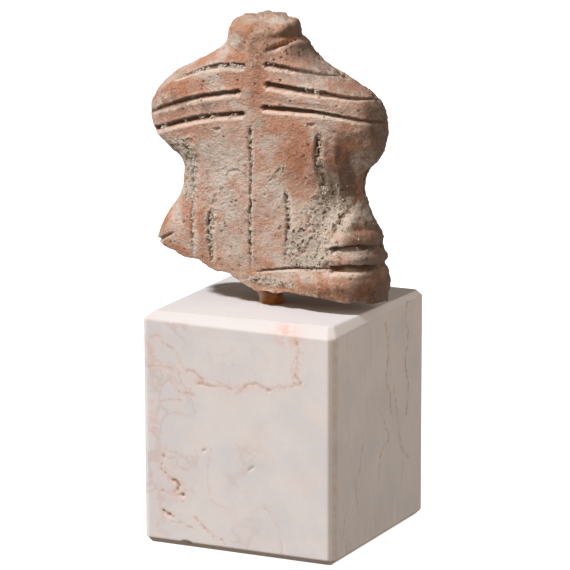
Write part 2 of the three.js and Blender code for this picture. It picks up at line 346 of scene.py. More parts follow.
torsoSetup = {
    "height": 65.2 * mm,
    "place": (-3.0 * mm, -2.0 * mm, 60.2 * mm),
    "frontFlatness": 3.0,
    "backFlatness": 2.4,
    "frontColumns": 222,
    "backColumns": 90,
    "rows": 288,
    "underRings": 8,
    "neckRings": 18,
    "chestLevel": 62.0,  # where the columns are spaced evenly
    "shoulderLevel": 76.0,  # rows are closer together above this level
    "shoulderFineness": 1.5,
    "rowSamples": 1500,
    "turnSamples": 2001,
    "settleRounds": 12,
    "capGathering": 1.4,
    # level, half width left and right, depth front and back, roundness of the right front corner
    "sections": (
        (-3, 46, 47, 13, 14, 2.4),
        (5, 46, 47, 13.5, 15, 2.4),
        (14.5, 45, 45.5, 14.5, 15, 2.3),
        (23.5, 40.5, 43.5, 15, 14, 1.8),
        (31, 35.5, 39.5, 15, 12.5, 1.3),
        (39, 33.5, 37.5, 15, 11.5, 1.25),
        (45, 34.5, 39.5, 15, 11.5, 1.45),
        (49.5, 40, 43.5, 15, 12, 1.8),
        (54, 45.5, 45.7, 15, 12.5, 2),
        (62, 47.5, 46.4, 15, 13, 2),
        (69.5, 44.5, 43.6, 14.5, 13, 2),
        (76, 37.5, 34.2, 14, 12.5, 2),
        (80, 30, 25.6, 13.5, 12, 2),
        (84, 22, 19.4, 13, 11, 2),
        (88, 16.5, 15.5, 12, 10.5, 2),
        (93, 14.5, 12, 11.5, 10, 2),
        (101, 11.5, 11, 10.5, 9, 2),
    ),
    # level, reach and height of the waves on the right flank
    "flankWaves": (
        (11.2, 1.3, -0.9),
        (14.3, 1.6, 0.5),
        (17.6, 1.4, -0.6),
        (21, 1.6, 0.4),
        (24.4, 1.2, -0.7),
        (5.5, 3, 0.5),
        (0.5, 2, -0.4),
        (91.6, 0.9, -0.9),
        (89.3, 1.0, 0.5),
    ),
    # centre across and up, reach across and up, height
    "swellings": (
        (38, 12, 12, 13, 3),
        (28, -3, 20, 9, 5),
        (35, 41, 8, 9, -2.5),
        (-38, 19, 9, 9, 1.5),
        (0, 82, 5, 12, 1),
    ),
    # low forms that only the looks need: centre across and up, long and short reach, turn in degrees, height
    "modelling": (
        (38.2, 45, 10, 4.2, 90, -4.4),
        (34.6, 45, 9, 1.6, 90, -1.4),
        (31.4, 45, 8, 1.2, 90, 1.3),
        (47.5, 65, 8, 3.6, 90, -3.0),
        (37.2, 26.5, 12, 4.4, 66, 2.3),
        (44, 26.6, 7, 1.2, -4, -0.9),
        (42.5, 30, 4, 2.4, 0, 0.4),
        (34, 8.3, 16, 1.3, 2, 0.6),
        (27.5, 26, 12, 4, 80, -1.1),
        (34, 5.2, 16, 3.2, 2, 2.2),
        (30, -1.5, 18, 2.4, 2, -1.0),
        (40, 14.5, 10, 1.9, 2, 1.3),
        (40, 21.8, 8, 2.4, 3, 1.2),
        (8, 2.5, 9, 3.5, 0, -1.2),
        (-20.3, 33, 14, 2.4, 88, 0.6),
        (-36, 24, 7, 4.5, 60, 1.2),
        (-28.2, 28, 8, 2.2, 96, 0.9),
        (-31.8, 25, 6, 1.6, 110, -1.2),
        (-8, 88.6, 3.6, 2.6, 60, 0.9),
        (-27.5, 34, 16, 2.6, 90, -0.8),
        (12.5, 93.5, 7, 2.2, 15, -1.6),
        (13, 87.5, 9, 2.4, 10, 0.8),
        (-7, 96.5, 3, 2.6, 0, 1.1),
        (-6.5, 87.5, 4, 1.6, 140, -0.8),
        (0, 72, 22, 3.2, 90, 0.5),
        (-20, 77, 20, 2.2, 14, 0.6),
        (-24, 67.5, 20, 2.0, 12, 0.6),
        (22, 79, 16, 2.0, -12, 0.6),
        (23, 70.6, 18, 2.0, -6, 1.0),
        (8, 42, 12, 5, 60, 0.4),
        (-12, 44, 9, 6, 30, -0.5),
        (14, 52, 8, 6, 90, 0.5),
    ),
    "breakTurn": 1.5,
    "breakRise": 1.5,
    "breakCurve": 0.62,
    "breakArch": 1.8,
    "breakArchWidth": 34.0,
    "breakToBack": 0.06,
    "rippleHeight": 0.5,
    "rippleLength": 13.0,
    "neckTop": 97.5,
    "neckPlateau": 5.0,  # how far in front of the middle the broken top stays nearly level
    "neckPlateauFall": 0.1,
    "neckFrontFall": 0.34,
    "neckEdgeDrop": 1.5,  # the worn edge of the break
    "neckEdgeReach": 2.6,
    # lumps of the break: across, depth, reach across and in depth, height
    "neckLumps": (
        (-7, 3, 3.5, 5, 0.9),
        (1.5, 6, 4, 5, 1.3),
        (9, 2, 3, 5, 0.9),
        (-2, -3, 3, 3, -0.6),
        (5, -4, 3, 3, 0.5),
    ),
    "neckLeftFall": 0.003,
    "neckRightFall": 0.012,
    "neckRoughness": 1.3,  # the neck is broken more roughly than the underside
    "neckFrom": 80.0,
    "brokenRows": 5,
    "breakBandFrom": 2.5,  # how far above the break its colour reaches, and how it fades
    "breakBandFade": 1.8,
}


def modelledAt(spots, across, up):
    total = np.zeros_like(across)
    for centreAcross, centreUp, longReach, shortReach, turn, height in spots:
        cosine, sine = math.cos(math.radians(turn)), math.sin(math.radians(turn))
        x, y = across - centreAcross, up - centreUp
        along = (x * cosine + y * sine) / longReach
        sideways = (y * cosine - x * sine) / shortReach
        total += height * np.exp(-(along**2) - sideways**2)
    return total


def sectionsAt(setup, levels):
    listed = np.array(setup["sections"], dtype=float)
    last = len(listed) - 1
    index = np.clip(np.searchsorted(listed[:, 0], levels) - 1, 0, last - 1)
    before = listed[np.maximum(index - 1, 0)]
    low = listed[index]
    high = listed[index + 1]
    after = listed[np.minimum(index + 2, last)]
    span = high[:, :1] - low[:, :1]
    share = np.clip((levels - low[:, 0]) / span[:, 0], 0, 1)[:, None]
    lowSlope = (high - before) / (high[:, :1] - before[:, :1]) * span
    highSlope = (after - low) / (after[:, :1] - low[:, :1]) * span
    cubic = 2 * low - 2 * high + lowSlope + highSlope
    square = 3 * high - 3 * low - 2 * lowSlope - highSlope
    form = ((cubic * share + square) * share + lowSlope) * share + low
    for level, reach, height in setup["flankWaves"]:
        form[:, 2] += height * np.exp(-(((levels - level) / reach) ** 2))
    return form


def spotsAt(spots, across, up):
    total = np.zeros_like(across)
    for centreAcross, centreUp, reachAcross, reachUp, height in spots:
        reach = ((across - centreAcross) / reachAcross) ** 2 + ((up - centreUp) / reachUp) ** 2
        total += height * np.exp(-reach)
    return total


def frontDepth(setup, across, up):
    form = sectionsAt(setup, up)
    half = np.where(across > 0, form[:, 2], form[:, 1])
    corner = np.where(across > 0, form[:, 5], 2.0)
    share = np.maximum(1 - np.abs(across / half) ** setup["frontFlatness"], 0) ** (1 / corner)
    forms = spotsAt(setup["swellings"], across, up) + modelledAt(setup["modelling"], across, up)
    return form[:, 3] * share + forms * np.sqrt(share)


def backDepth(setup, across, up):
    form = sectionsAt(setup, up)
    half = np.where(across > 0, form[:, 2], form[:, 1])
    share = np.maximum(1 - np.abs(across / half) ** setup["backFlatness"], 0) ** 0.5
    return form[:, 4] * share


def skinPoints(setup, turns, levels):
    # turn 0 is the right flank, a quarter is the back, a half is the left flank
    form = sectionsAt(setup, levels)
    cosine = np.cos(turns * 2 * np.pi)
    across = np.where(cosine > 0, form[:, 2], form[:, 1]) * cosine
    front = np.sin(turns * 2 * np.pi) < 0
    depth = np.where(front, -frontDepth(setup, across, levels), backDepth(setup, across, levels))
    return np.stack([across, depth, levels], axis=-1)


def ripple(setup, across, depth):
    phase = 2 * np.pi / setup["rippleLength"]
    return setup["rippleHeight"] * np.sin(across * phase) * np.cos(depth * phase)


def breakLevel(setup, across, depth):
    toLeft = np.maximum(setup["breakTurn"] - across, 0)
    toRight = np.maximum(across - setup["breakTurn"], 0)
    rise = setup["breakRise"] * ((toLeft + 1) ** setup["breakCurve"] - 1)
    arch = setup["breakArch"] * np.sin(np.pi * toRight / setup["breakArchWidth"])
    return rise + arch + setup["breakToBack"] * depth + ripple(setup, across, depth)


def neckLevel(setup, across, depth):
    sideFall = np.where(across < 0, setup["neckLeftFall"], setup["neckRightFall"])
    ahead = np.maximum(-depth, 0)
    fall = setup["neckPlateauFall"] * ahead
    fall += setup["neckFrontFall"] * np.maximum(ahead - setup["neckPlateau"], 0)
    lumps = spotsAt(setup["neckLumps"], across, depth)
    return setup["neckTop"] - fall - sideFall * across * across + lumps + ripple(setup, across, depth)


def wornNeckLevel(setup, across, depth):
    return neckLevel(setup, across, depth) - setup["neckEdgeDrop"]


def meetBreak(setup, turns, startLevel, levelAt):
    levels = np.full_like(turns, float(startLevel))
    for _ in range(setup["settleRounds"]):
        points = skinPoints(setup, turns, levels)
        levels = levelAt(setup, points[:, 0], points[:, 1])
    return levels


def capRings(setup, rim, count, levelAt, edgeDrop=0.0):
    middle = rim.mean(axis=0)
    rings = []
    for step in range(1, count + 1):
        ring = rim + (middle - rim) * (step / (count + 1)) ** setup["capGathering"]
        inward = np.linalg.norm((ring - rim)[:, :2], axis=1) / setup["neckEdgeReach"]
        rounding = 1 - np.sqrt(1 - np.maximum(1 - inward, 0) ** 2)
        ring[:, 2] = levelAt(setup, ring[:, 0], ring[:, 1]) - edgeDrop * rounding
        rings.append(ring)
    middle[2] = levelAt(setup, middle[:1], middle[1:2])[0]
    return rings, middle


def evenTurns(setup):
    # equal steps round the chest, the front with finer ones than the back
    turns = []
    for count, start in ((setup["backColumns"], 0.0), (setup["frontColumns"], 0.5)):
        fine = np.linspace(start, start + 0.5, setup["turnSamples"])
        points = skinPoints(setup, fine, np.full_like(fine, setup["chestLevel"]))
        lengths = np.concatenate([[0], np.cumsum(np.linalg.norm(np.diff(points, axis=0), axis=1))])
        turns.append(np.interp(np.arange(count) / count * lengths[-1], lengths, fine))
    return np.concatenate(turns)


def makeTorsoSkin(setup):
    turns = evenTurns(setup)
    listed = np.array(setup["sections"])[:, 0]
    foot = meetBreak(setup, turns, listed[0], breakLevel)
    head = meetBreak(setup, turns, listed[-1], wornNeckLevel)
    # rows are closer together over the sloping shoulders
    sample = np.linspace(listed[0], listed[-1], setup["rowSamples"])
    widths = sectionsAt(setup, sample)[:, 2]
    steps = np.sqrt(np.diff(sample) ** 2 + np.diff(widths) ** 2)
    steps *= np.where(sample[1:] > setup["shoulderLevel"], setup["shoulderFineness"], 1.0)
    lengths = np.concatenate([[0], np.cumsum(steps)])
    spaced = np.linspace(0, lengths[-1], setup["rows"])
    shares = np.interp(spaced, lengths, np.linspace(0, 1, setup["rowSamples"]))
    rings = [skinPoints(setup, turns, foot + (head - foot) * share) for share in shares]
    under, underMiddle = capRings(setup, rings[0], setup["underRings"], breakLevel)
    over, overMiddle = capRings(setup, rings[-1], setup["neckRings"], neckLevel, setup["neckEdgeDrop"])
    stack = under[::-1] + rings + over
    count = len(turns)
    points = np.concatenate([np.concatenate(stack), [underMiddle, overMiddle]])
    footIndex = len(points) - 2
    headIndex = len(points) - 1
    column = np.arange(count)
    following = (column + 1) % count
    top = (len(stack) - 1) * count
    faces = ringFaces(len(stack), count).tolist()
    faces += [(footIndex, int(b), int(a)) for a, b in zip(column, following)]
    faces += [(headIndex, int(top + a), int(top + b)) for a, b in zip(column, following)]
    noneUnder, noneOver = np.zeros(len(under) * count), np.zeros(len(over) * count + 2)
    fromFoot = np.maximum(1 - np.arange(len(rings)) / setup["brokenRows"], 0)
    broken = np.concatenate([noneUnder + 1, np.repeat(fromFoot, count), noneOver + setup["neckRoughness"]])
    aboveFoot = np.concatenate([ring[:, 2] - foot for ring in rings])
    aboveBreak = np.concatenate([noneUnder, aboveFoot, noneOver + setup["neckTop"]])
    beyondBand = np.maximum(aboveBreak - setup["breakBandFrom"], 0)
    breakBand = np.exp(-((beyondBand / setup["breakBandFade"]) ** 2))
    nearNeckEdge = np.concatenate([noneUnder, np.repeat(fromFoot[::-1], count), noneOver])
    nearNeckEdge *= points[:, 2] > setup["neckFrom"]
    broken = np.maximum(broken, nearNeckEdge)
    breakBand = np.maximum(breakBand, nearNeckEdge)
    return points, faces, broken, breakBand


torsoSkinPoints, torsoSkinFaces, brokenShare, breakBand = makeTorsoSkin(torsoSetup)

# Incised lines: points across and up, half width, depth, fading at the ends, share of fill, and darkness,
# which sets the painted shade in the line and the painted highlight on its lip


shoulderLine = {"width": 1.35, "depth": 1.4, "fadeIn": 0.01, "fadeOut": 0.3, "fill": 0.25, "dark": 1.0}
bodyLine = {"width": 0.8, "depth": 1.4, "fadeIn": 0.06, "fadeOut": 0.2, "fill": 0.72, "dark": 0.8}
faintLine = {"width": 0.9, "depth": 0.5, "fadeIn": 0.3, "fadeOut": 0.3, "fill": 0.5, "dark": 0.0}


def incised(style, *through, **changes):
    return {**style, "through": through, **changes}


lineSetup = {
    "step": 0.25 * mm,
    "fewestSamples": 8,
    "slopeStep": 0.4,  # how far beside a line the slope of the clay is read
    "taper": 0.6,  # share of the width that a faded end keeps
    "steepSide": (-0.6, 0, 1),  # the steep wall is the upper or the left one
    "front": (
        incised(shoulderLine, (-2.5, 81.8), (-14, 81), (-33.5, 74.8), depth=1.1, fill=0.62, fadeOut=0.6),
        incised(shoulderLine, (-4.4, 72.5), (-23, 69), (-45, 61.5), fadeOut=0.4),
        incised(shoulderLine, (-2.6, 64.7), (-18.5, 62.4), (-45, 54.8), fadeOut=0.05, fill=0.38),
        incised(shoulderLine, (5, 82.6), (16, 81.2), (32, 77.9), fadeOut=0.9),
        incised(shoulderLine, (5.5, 75.6), (21, 74), (44.5, 70.6), fill=0.15, depth=1.7, fadeOut=0.6),
        incised(shoulderLine, (4.2, 67.4), (28, 66.1), (45.5, 62.9), depth=1.9, fadeOut=0.9),
        incised(
            shoulderLine, (4.6, 87.3), (9.5, 89.8), (12.6, 91),
            width=1.4, depth=1.6, dark=0.65, fill=0.0, fadeIn=0.35,
        ),
        incised(faintLine, (-13.5, 88), (-6, 85.8), width=1.4, fill=0.0),
        incised(bodyLine, (-0.4, 60), (-0.3, 52), (-0.2, 44), depth=1.6, width=0.95, fill=0.6),
        incised(bodyLine, (-0.2, 45), (-0.5, 28), (-0.8, 9), depth=1.1, width=0.7, fill=0.92),
        incised(bodyLine, (-27.8, 52), (-26, 47.5), (-25.6, 31), fill=0.95, width=2.0, depth=1.1, dark=0.3),
        incised(bodyLine, (-25.4, 33), (-24.8, 20), (-24.7, 11), fill=0.75, width=1.3, depth=0.9, dark=0.15),
        incised(bodyLine, (-16.6, 28.4), (-17.4, 20), (-16.9, 10), width=1.5),
        incised(bodyLine, (25.9, 59), (25.1, 50), (26.2, 37), depth=1.8, width=1.6, fill=0.6),
        incised(bodyLine, (13.4, 37), (14.4, 24), (13.4, 14), width=1.2),
        incised(shoulderLine, (31, 17.8), (36, 18.7), (45, 18.0), depth=1.7, width=1.15),
        incised(shoulderLine, (31, 11), (36, 11.6), (45.2, 11.2), depth=2.1, width=1.5),
        incised(faintLine, (34.5, 24.7), (41.5, 21.7)),
        incised(faintLine, (36.5, 35), (33, 27), (30.5, 19), width=1.6, depth=0.7, fill=0.0),
        incised(bodyLine, (2, 7.4), (17, 9.8), (31, 11), fadeOut=0.05, fill=0.3, width=0.6, depth=1.0),
        incised(bodyLine, (-45, 12.8), (-40, 15.2), (-33, 18.6), depth=0.9, fill=0.1, dark=0.4),
        incised(faintLine, (-36, 27.5), (-29, 21.5), width=1.4),
        incised(faintLine, (-10, 42.5), (-7, 43.6), (-1.2, 40.9)),
        incised(faintLine, (13.4, 47), (5.2, 37.9), width=1.3, fill=1.0),
        incised(faintLine, (-16, 58), (-12, 58.3), depth=0.8),
        incised(faintLine, (21.5, 62), (25.5, 62.3), depth=0.8),
    ),
    "back": (
        incised(bodyLine, (0, 60), (0, 14)),
        incised(bodyLine, (-6, 64), (-42, 57)),
        incised(bodyLine, (6, 64), (42, 57)),
        incised(bodyLine, (-6, 72.5), (-42, 65.5)),
        incised(bodyLine, (6, 72.5), (42, 65.5)),
    ),
}


def easedPath(points, count):
    # a smooth curve through the points, with evenly spaced samples
    listed = np.array(points, dtype=float)
    knots = np.concatenate([[0], np.cumsum(np.linalg.norm(np.diff(listed, axis=0), axis=1))])
    if len(listed) > 2:
        slopes = np.gradient(listed, knots, axis=0)
    else:
        slopes = np.repeat(np.diff(listed, axis=0) / knots[-1], 2, axis=0)
    where = np.linspace(0, knots[-1], count)
    index = np.clip(np.searchsorted(knots, where) - 1, 0, len(knots) - 2)
    span = (knots[index + 1] - knots[index])[:, None]
    share = ((where - knots[index])[:, None]) / span
    low, high = listed[index], listed[index + 1]
    lowSlope, highSlope = slopes[index] * span, slopes[index + 1] * span
    cubic = 2 * low - 2 * high + lowSlope + highSlope
    square = 3 * high - 3 * low - 2 * lowSlope - highSlope
    return ((cubic * share + square) * share + lowSlope) * share + low


def onSkin(setup, depthAt, facing, across, up):
    return np.stack([across, facing * depthAt(setup, across, up), up], axis=-1)


def makeIncisedPaths(setup, lines):
    unit = setup["height"] / 100
    place = np.array(setup["place"])
    names = ("position", "upperSide", "along", "lineWidth", "lineDepth", "lineFill", "lineDark")
    spots = {name: [] for name in names}
    for facing, depthAt, listed in ((-1, frontDepth, lines["front"]), (1, backDepth, lines["back"])):
        for line in listed:
            ends = np.array(line["through"], dtype=float)
            length = np.linalg.norm(np.diff(ends, axis=0), axis=1).sum() * unit
            count = max(int(length / lines["step"]), lines["fewestSamples"])
            path = easedPath(line["through"], count)
            across, up = path[:, 0], path[:, 1]
            point = onSkin(setup, depthAt, facing, across, up)
            sideways = onSkin(setup, depthAt, facing, across + lines["slopeStep"], up) - point
            upward = onSkin(setup, depthAt, facing, across, up + lines["slopeStep"]) - point
            outward = np.cross(sideways, upward) * -facing
            outward /= np.linalg.norm(outward, axis=1)[:, None]
            along = np.gradient(point, axis=0)
            along /= np.linalg.norm(along, axis=1)[:, None]
            share = np.linspace(0, 1, count)
            fade = np.clip(np.minimum(share / line["fadeIn"], (1 - share) / line["fadeOut"]), 0, 1)
            spots["position"].append(point * unit + place)
            side = np.cross(outward, along)
            side[side @ np.array(lines["steepSide"]) < 0] *= -1
            spots["upperSide"].append(side)
            spots["along"].append(along)
            spots["lineWidth"].append(line["width"] * unit * (lines["taper"] + (1 - lines["taper"]) * fade))
            spots["lineDepth"].append(line["depth"] * unit * np.sqrt(fade))
            spots["lineFill"].append(np.full(count, line["fill"]))
            spots["lineDark"].append(np.full(count, line["dark"]))
    joined = {name: np.concatenate(values) for name, values in spots.items()}
    points = joined.pop("position")
    return meshObject("incisedPaths", points, [], joined)


# Surface of the clay. Its patches are given by centre across and up, reach across and up, and strength


claySetup = {
    "crusts": (
        (26, 22, 6.5, 12, 1.9),
        (18, 16, 5, 7, 1.0),
        (30, 35, 4, 6, 1.2),
        (44.5, 26.7, 6, 1.5, 1.2),
        (41, 18, 7, 1.6, 0.8),
        (3, 4.6, 8, 1.8, 0.8),
        (12, 3.4, 7, 1.6, 0.8),
        (-26.5, 45, 3, 10, 1.1),
        (-28.5, 33, 2, 6, 0.5),
        (-12, 36, 9, 16, 0.35),
        (-17, 22, 2.5, 9, 0.6),
        (0, 22, 4, 16, 0.4),
        (33, 30, 5, 6, 0.7),
        (-33, 50, 8, 4, 0.5),
    ),
    "ochres": (
        (-20.2, 26, 2.4, 13, 1.0),
        (39, 22.3, 5, 2.6, 0.9),
        (13, 50, 11, 13, 0.7),
        (1, 88, 8, 7, 0.9),
        (3, 92.6, 11, 3.4, 1.1),
        (9, 94.2, 7, 2.6, 1.5),
        (-25, 75, 14, 3, 0.5),
        (24, 70, 14, 3, 0.95),
        (-8, 6, 26, 5, 0.9),
        (38, 3, 12, 5, 0.7),
        (-40, 20, 6, 8, 1.0),
        (33, 4, 14, 2.6, 0.9),
        (30, 55, 6, 6, 0.6),
        (-30, 71, 10, 2.4, 1.0),
        (-22, 62, 14, 1.8, 0.5),
        (0, 72, 4, 16, 0.5),
    ),
    "films": (
        (-8, 88.6, 3.2, 3.4, 1.2),
        (4, 98, 13, 2.2, 1.1),
        (-24, 20, 1.7, 12, 1.1),
        (-33, 24, 2.4, 5, 0.9),
        (37, 30.5, 2.2, 3.5, 1.0),
        (34, 26.5, 2, 3, 1.0),
        (20, 6.8, 10, 2.0, 0.9),
        (40, 15.5, 6, 1.4, 0.9),
        (-12, 46, 9, 12, 1.0),
        (-9, 25, 8, 13, 0.9),
        (8, 24, 6, 13, 0.8),
        (21, 70, 13, 1.9, 0.95),
        (26, 64, 12, 1.6, 0.5),
        # painted light on the upper right hip, which faces the key
        (41, 30, 4.6, 5, 1.3),
        (11, 37, 6, 5, 0.6),
        (22, 78.5, 12, 2.4, 0.8),
        (-20, 77.5, 9, 2.4, 0.7),
        (8, 40, 5, 5, 0.6),
        (26, 84, 9, 4, 0.6),
    ),
    # dark brown patches, partly soil and partly painted shade, as in the waist hollow under the right arm
    # stub
    "soils": (
        (1, 88, 8, 6, 1.3),
        (37, 44, 4, 9, 0.8),
        (37, 46, 6, 10, 0.7),
        (-40, 65, 9, 7, 0.7),
        (-14, 66, 12, 2.6, 0.6),
        (0, 74, 4, 8, 0.4),
        (34, 57, 11, 4, 0.8),
        (46, 12, 3.6, 14, 0.3),
        (38, -1, 12, 2.6, 1.0),
        (45, 68, 4, 13, 1.0),
        (14, 55, 8, 6, 0.4),
        (-42, 20, 5, 8, 0.4),
        (35, 50, 7, 12, 1.1),
        (32, 2, 16, 4, 1.2),
        (-28, 77, 16, 3.4, 0.3),
        (-30, 67, 14, 3, 0.8),
        (27, 80, 14, 3.6, 1.15),
        (34, 74, 12, 2.6, 0.3),
    ),
    # how much of each there is on the back, which doesn't show in the photo
    "behind": {"crusts": 0.35, "ochres": 0.3, "films": 0.35, "soils": 0.45},
    "lumpScale": 95.0,
    "lumpHeight": 0.30 * mm,
    "softScale": 330.0,
    "softHeight": 0.30 * mm,
    "gritScale": 1350.0,
    "gritHeight": 0.28 * mm,
    "gritOnCrust": 1.6,
    "pitCells": 700.0,
    "pitDepth": 0.30 * mm,
    "crustHeight": 0.28 * mm,
    "brokenScale": 230.0,
    "brokenHeight": 0.75 * mm,
    "fineUnit": 0.2 * mm,  # relief of this height counts as one in the colours
    "wobbleScale": 420.0,
    "wobble": 0.7 * mm,
    "endsOver": (0.2 * mm, 0.7 * mm),
    "grooveSpan": (-2.5, 1.5),  # in half widths, from the lower lip to the upper one
    "untouched": 0.14,  # the clay beside a line; above it the edges are pushed up a little
    # steep upper wall, flat floor and a long slope up to the lower lip
    "groove": (
        (0.1, 0.12), (0.2, 0.08), (0.3, 0.16), (0.38, 0.38), (0.47, 0.7), (0.55, 0.93),
        (0.63, 1.0), (0.735, 0.97), (0.785, 0.16), (0.83, 0.02), (0.9, 0.07),
    ),
    "clusters": 270.0,  # scales of the sediment lodged in the lines
    "clusterFrom": 0.7,
    "lodged": (1150.0, 2.0, 0.55, 0.4, 0.54),
    "pitted": (330.0, 2.0, 0.55, 0.5, 0.6),
}


def makeClayTree(setup):
    tree, given, result = newTree("claySurface", {
        "Incised Paths": "Object",
        "Lump Height": "Float",
        "Soft Height": "Float",
        "Grit Height": "Float",
        "Pit Depth": "Float",
        "Crust Height": "Float",
        "Broken Height": "Float",
        "Material": "Material",
    })
    geometry = given.outputs["Geometry"]
    place = addNode(tree, "GeometryNodeInputPosition").outputs[0]
    normal = addNode(tree, "GeometryNodeInputNormal").outputs[0]
    broken = readAttribute(tree, "broken")
    crust = readAttribute(tree, "crust")

    wobble = driftAt(tree, place, setup["wobbleScale"], 3.0, 0.5, setup["wobble"])
    shifted = vectorCalc(tree, "ADD", place, wobble)
    sampled = nearestReader(tree, geometryOf(tree, given.outputs["Incised Paths"]), shifted)
    centre = sampled(place, "FLOAT_VECTOR")
    upperSide = sampled(readAttribute(tree, "upperSide", "FLOAT_VECTOR"), "FLOAT_VECTOR")
    along = sampled(readAttribute(tree, "along", "FLOAT_VECTOR"), "FLOAT_VECTOR")
    width = sampled(readAttribute(tree, "lineWidth"))
    depth = sampled(readAttribute(tree, "lineDepth"))
    fill = sampled(readAttribute(tree, "lineFill"))
    dark = sampled(readAttribute(tree, "lineDark"))

    toLine = vectorCalc(tree, "SUBTRACT", shifted, centre)
    side = calc(tree, "DIVIDE", vectorCalc(tree, "DOT_PRODUCT", toLine, upperSide, "Value"), width)
    beyond = calc(tree, "ABSOLUTE", vectorCalc(tree, "DOT_PRODUCT", toLine, along, "Value"))
    away = calc(tree, "DIVIDE", vectorCalc(tree, "LENGTH", toLine, (0, 0, 0), "Value"), width)
    across = addNode(tree, "ShaderNodeMapRange", interpolation_type="LINEAR")
    feed(tree, across.inputs["Value"], side)
    feed(tree, across.inputs["From Min"], setup["grooveSpan"][0])
    feed(tree, across.inputs["From Max"], setup["grooveSpan"][1])
    profile = addNode(tree, "ShaderNodeFloatCurve")
    feed(tree, profile.inputs["Value"], across.outputs[0])
    curve = profile.mapping.curves[0]
    level = setup["untouched"]
    curve.points[0].location = (0.0, level)
    curve.points[-1].location = (1.0, level)
    for x, y in setup["groove"]:
        curve.points.new(x, y)
    profile.mapping.update()
    profiled = calc(tree, "DIVIDE", minus(tree, profile.outputs["Value"], level), 1 - level)
    ending = ramp(tree, beyond, *setup["endsOver"], 1.0, 0.0)
    ending = times(tree, ending, ramp(tree, away, 2.6, 3.4, 1.0, 0.0))
    cut = times(tree, profiled, ending)
    openSide = times(tree, ramp(tree, side, -0.1, 0.45, 0.3, 0.0), ramp(tree, fill, 0.3, 0.8))
    clusterFrom = minus(tree, minus(tree, setup["clusterFrom"], times(tree, fill, 0.36)), openSide)
    clusters = noiseAt(tree, place, setup["clusters"], 2.0)
    cluster = ramp(tree, clusters, clusterFrom, plus(tree, clusterFrom, 0.08))
    lodged = times(tree, patchAt(tree, place, setup["lodged"]), cluster)
    unfilled = minus(tree, 1.0, times(tree, lodged, 0.75))
    carved = times(tree, times(tree, cut, depth), unfilled)

    def reliefOf(name, scale, detail, roughness=0.55):
        centred = minus(tree, noiseAt(tree, place, scale, detail, roughness), 0.5)
        return times(tree, centred, times(tree, given.outputs[name], 2.0))

    lumps = reliefOf("Lump Height", setup["lumpScale"], 2.0)
    soft = reliefOf("Soft Height", setup["softScale"], 3.0)
    grit = reliefOf("Grit Height", setup["gritScale"], 3.0, 0.65)
    grit = times(tree, grit, plus(tree, 0.65, times(tree, crust, setup["gritOnCrust"])))
    rough = times(tree, reliefOf("Broken Height", setup["brokenScale"], 4.0, 0.62), broken)
    pitHere = calc(tree, "MAXIMUM", patchAt(tree, place, setup["pitted"]), times(tree, crust, 0.8))
    pits = times(tree, ramp(tree, cellsAt(tree, place, setup["pitCells"]), 0.1, 0.3, 1.0, 0.0), pitHere)
    crustFrom = minus(tree, 0.6, times(tree, crust, 0.28))
    crustNoise = noiseAt(tree, place, 420.0, 5.0, 0.65)
    crustPatch = ramp(tree, crustNoise, crustFrom, plus(tree, crustFrom, 0.1))
    crustPatch = times(tree, crustPatch, times(tree, crust, 2.0, clamp=True))

    height = plus(tree, plus(tree, plus(tree, lumps, soft), grit), rough)
    height = plus(tree, height, times(tree, crustPatch, given.outputs["Crust Height"]))
    height = minus(tree, height, times(tree, pits, given.outputs["Pit Depth"]))
    height = minus(tree, height, carved)

    fine = calc(tree, "DIVIDE", plus(tree, soft, grit), setup["fineUnit"])
    # the deep floor and steep wall of a line get painted shade, as strong as its darkness
    inGrooveShade = times(tree, ramp(tree, side, -0.75, -0.3), ramp(tree, cut, 0.35, 0.8))
    geometry = storeAttribute(tree, geometry, "paintedGrooveShade", times(tree, inGrooveShade, dark))
    # a painted highlight on the lower lip of each line
    lipHighlight = times(tree, ramp(tree, side, -0.7, -0.95, 0.0, 1.0), ramp(tree, side, -2.2, -1.5))
    geometry = storeAttribute(tree, geometry, "lipHighlight", times(tree, times(tree, lipHighlight, ending), dark))
    geometry = storeAttribute(tree, geometry, "lodged", times(tree, lodged, cut))
    geometry = storeAttribute(tree, geometry, "pits", pits)
    geometry = storeAttribute(tree, geometry, "crustPatch", crustPatch)
    geometry = storeAttribute(tree, geometry, "fineRelief", fine)
    facing = addNode(tree, "ShaderNodeSeparateXYZ")
    feed(tree, facing.inputs[0], normal)
    geometry = storeAttribute(tree, geometry, "facingRight", facing.outputs["X"])
    geometry = pushed(tree, geometry, vectorCalc(tree, "SCALE", normal, height))
    endTree(tree, geometry, given.outputs["Material"], result)
    return tree


terracottaColors = {
    "orange": (191, 134, 105),
    "salmon": (203, 161, 140),
    "brown": (150, 104, 78),
    "soilAndShade": (106, 82, 65),
    "film": (210, 198, 182),
    "sediment": (199, 185, 166),
    "ochre": (182, 116, 78),
    "broken": (170, 117, 81),
    # painted shade in the lines
    "grooveShadeTone": (72, 54, 38),
    "speck": (84, 60, 48),
    # dark brown for surfaces facing right: partly grime, partly painted shade
    "grimeAndFlankShade": (84, 62, 47),
    # painted highlight on the lips of the lines
    "lipHighlight": (226, 199, 178),
}
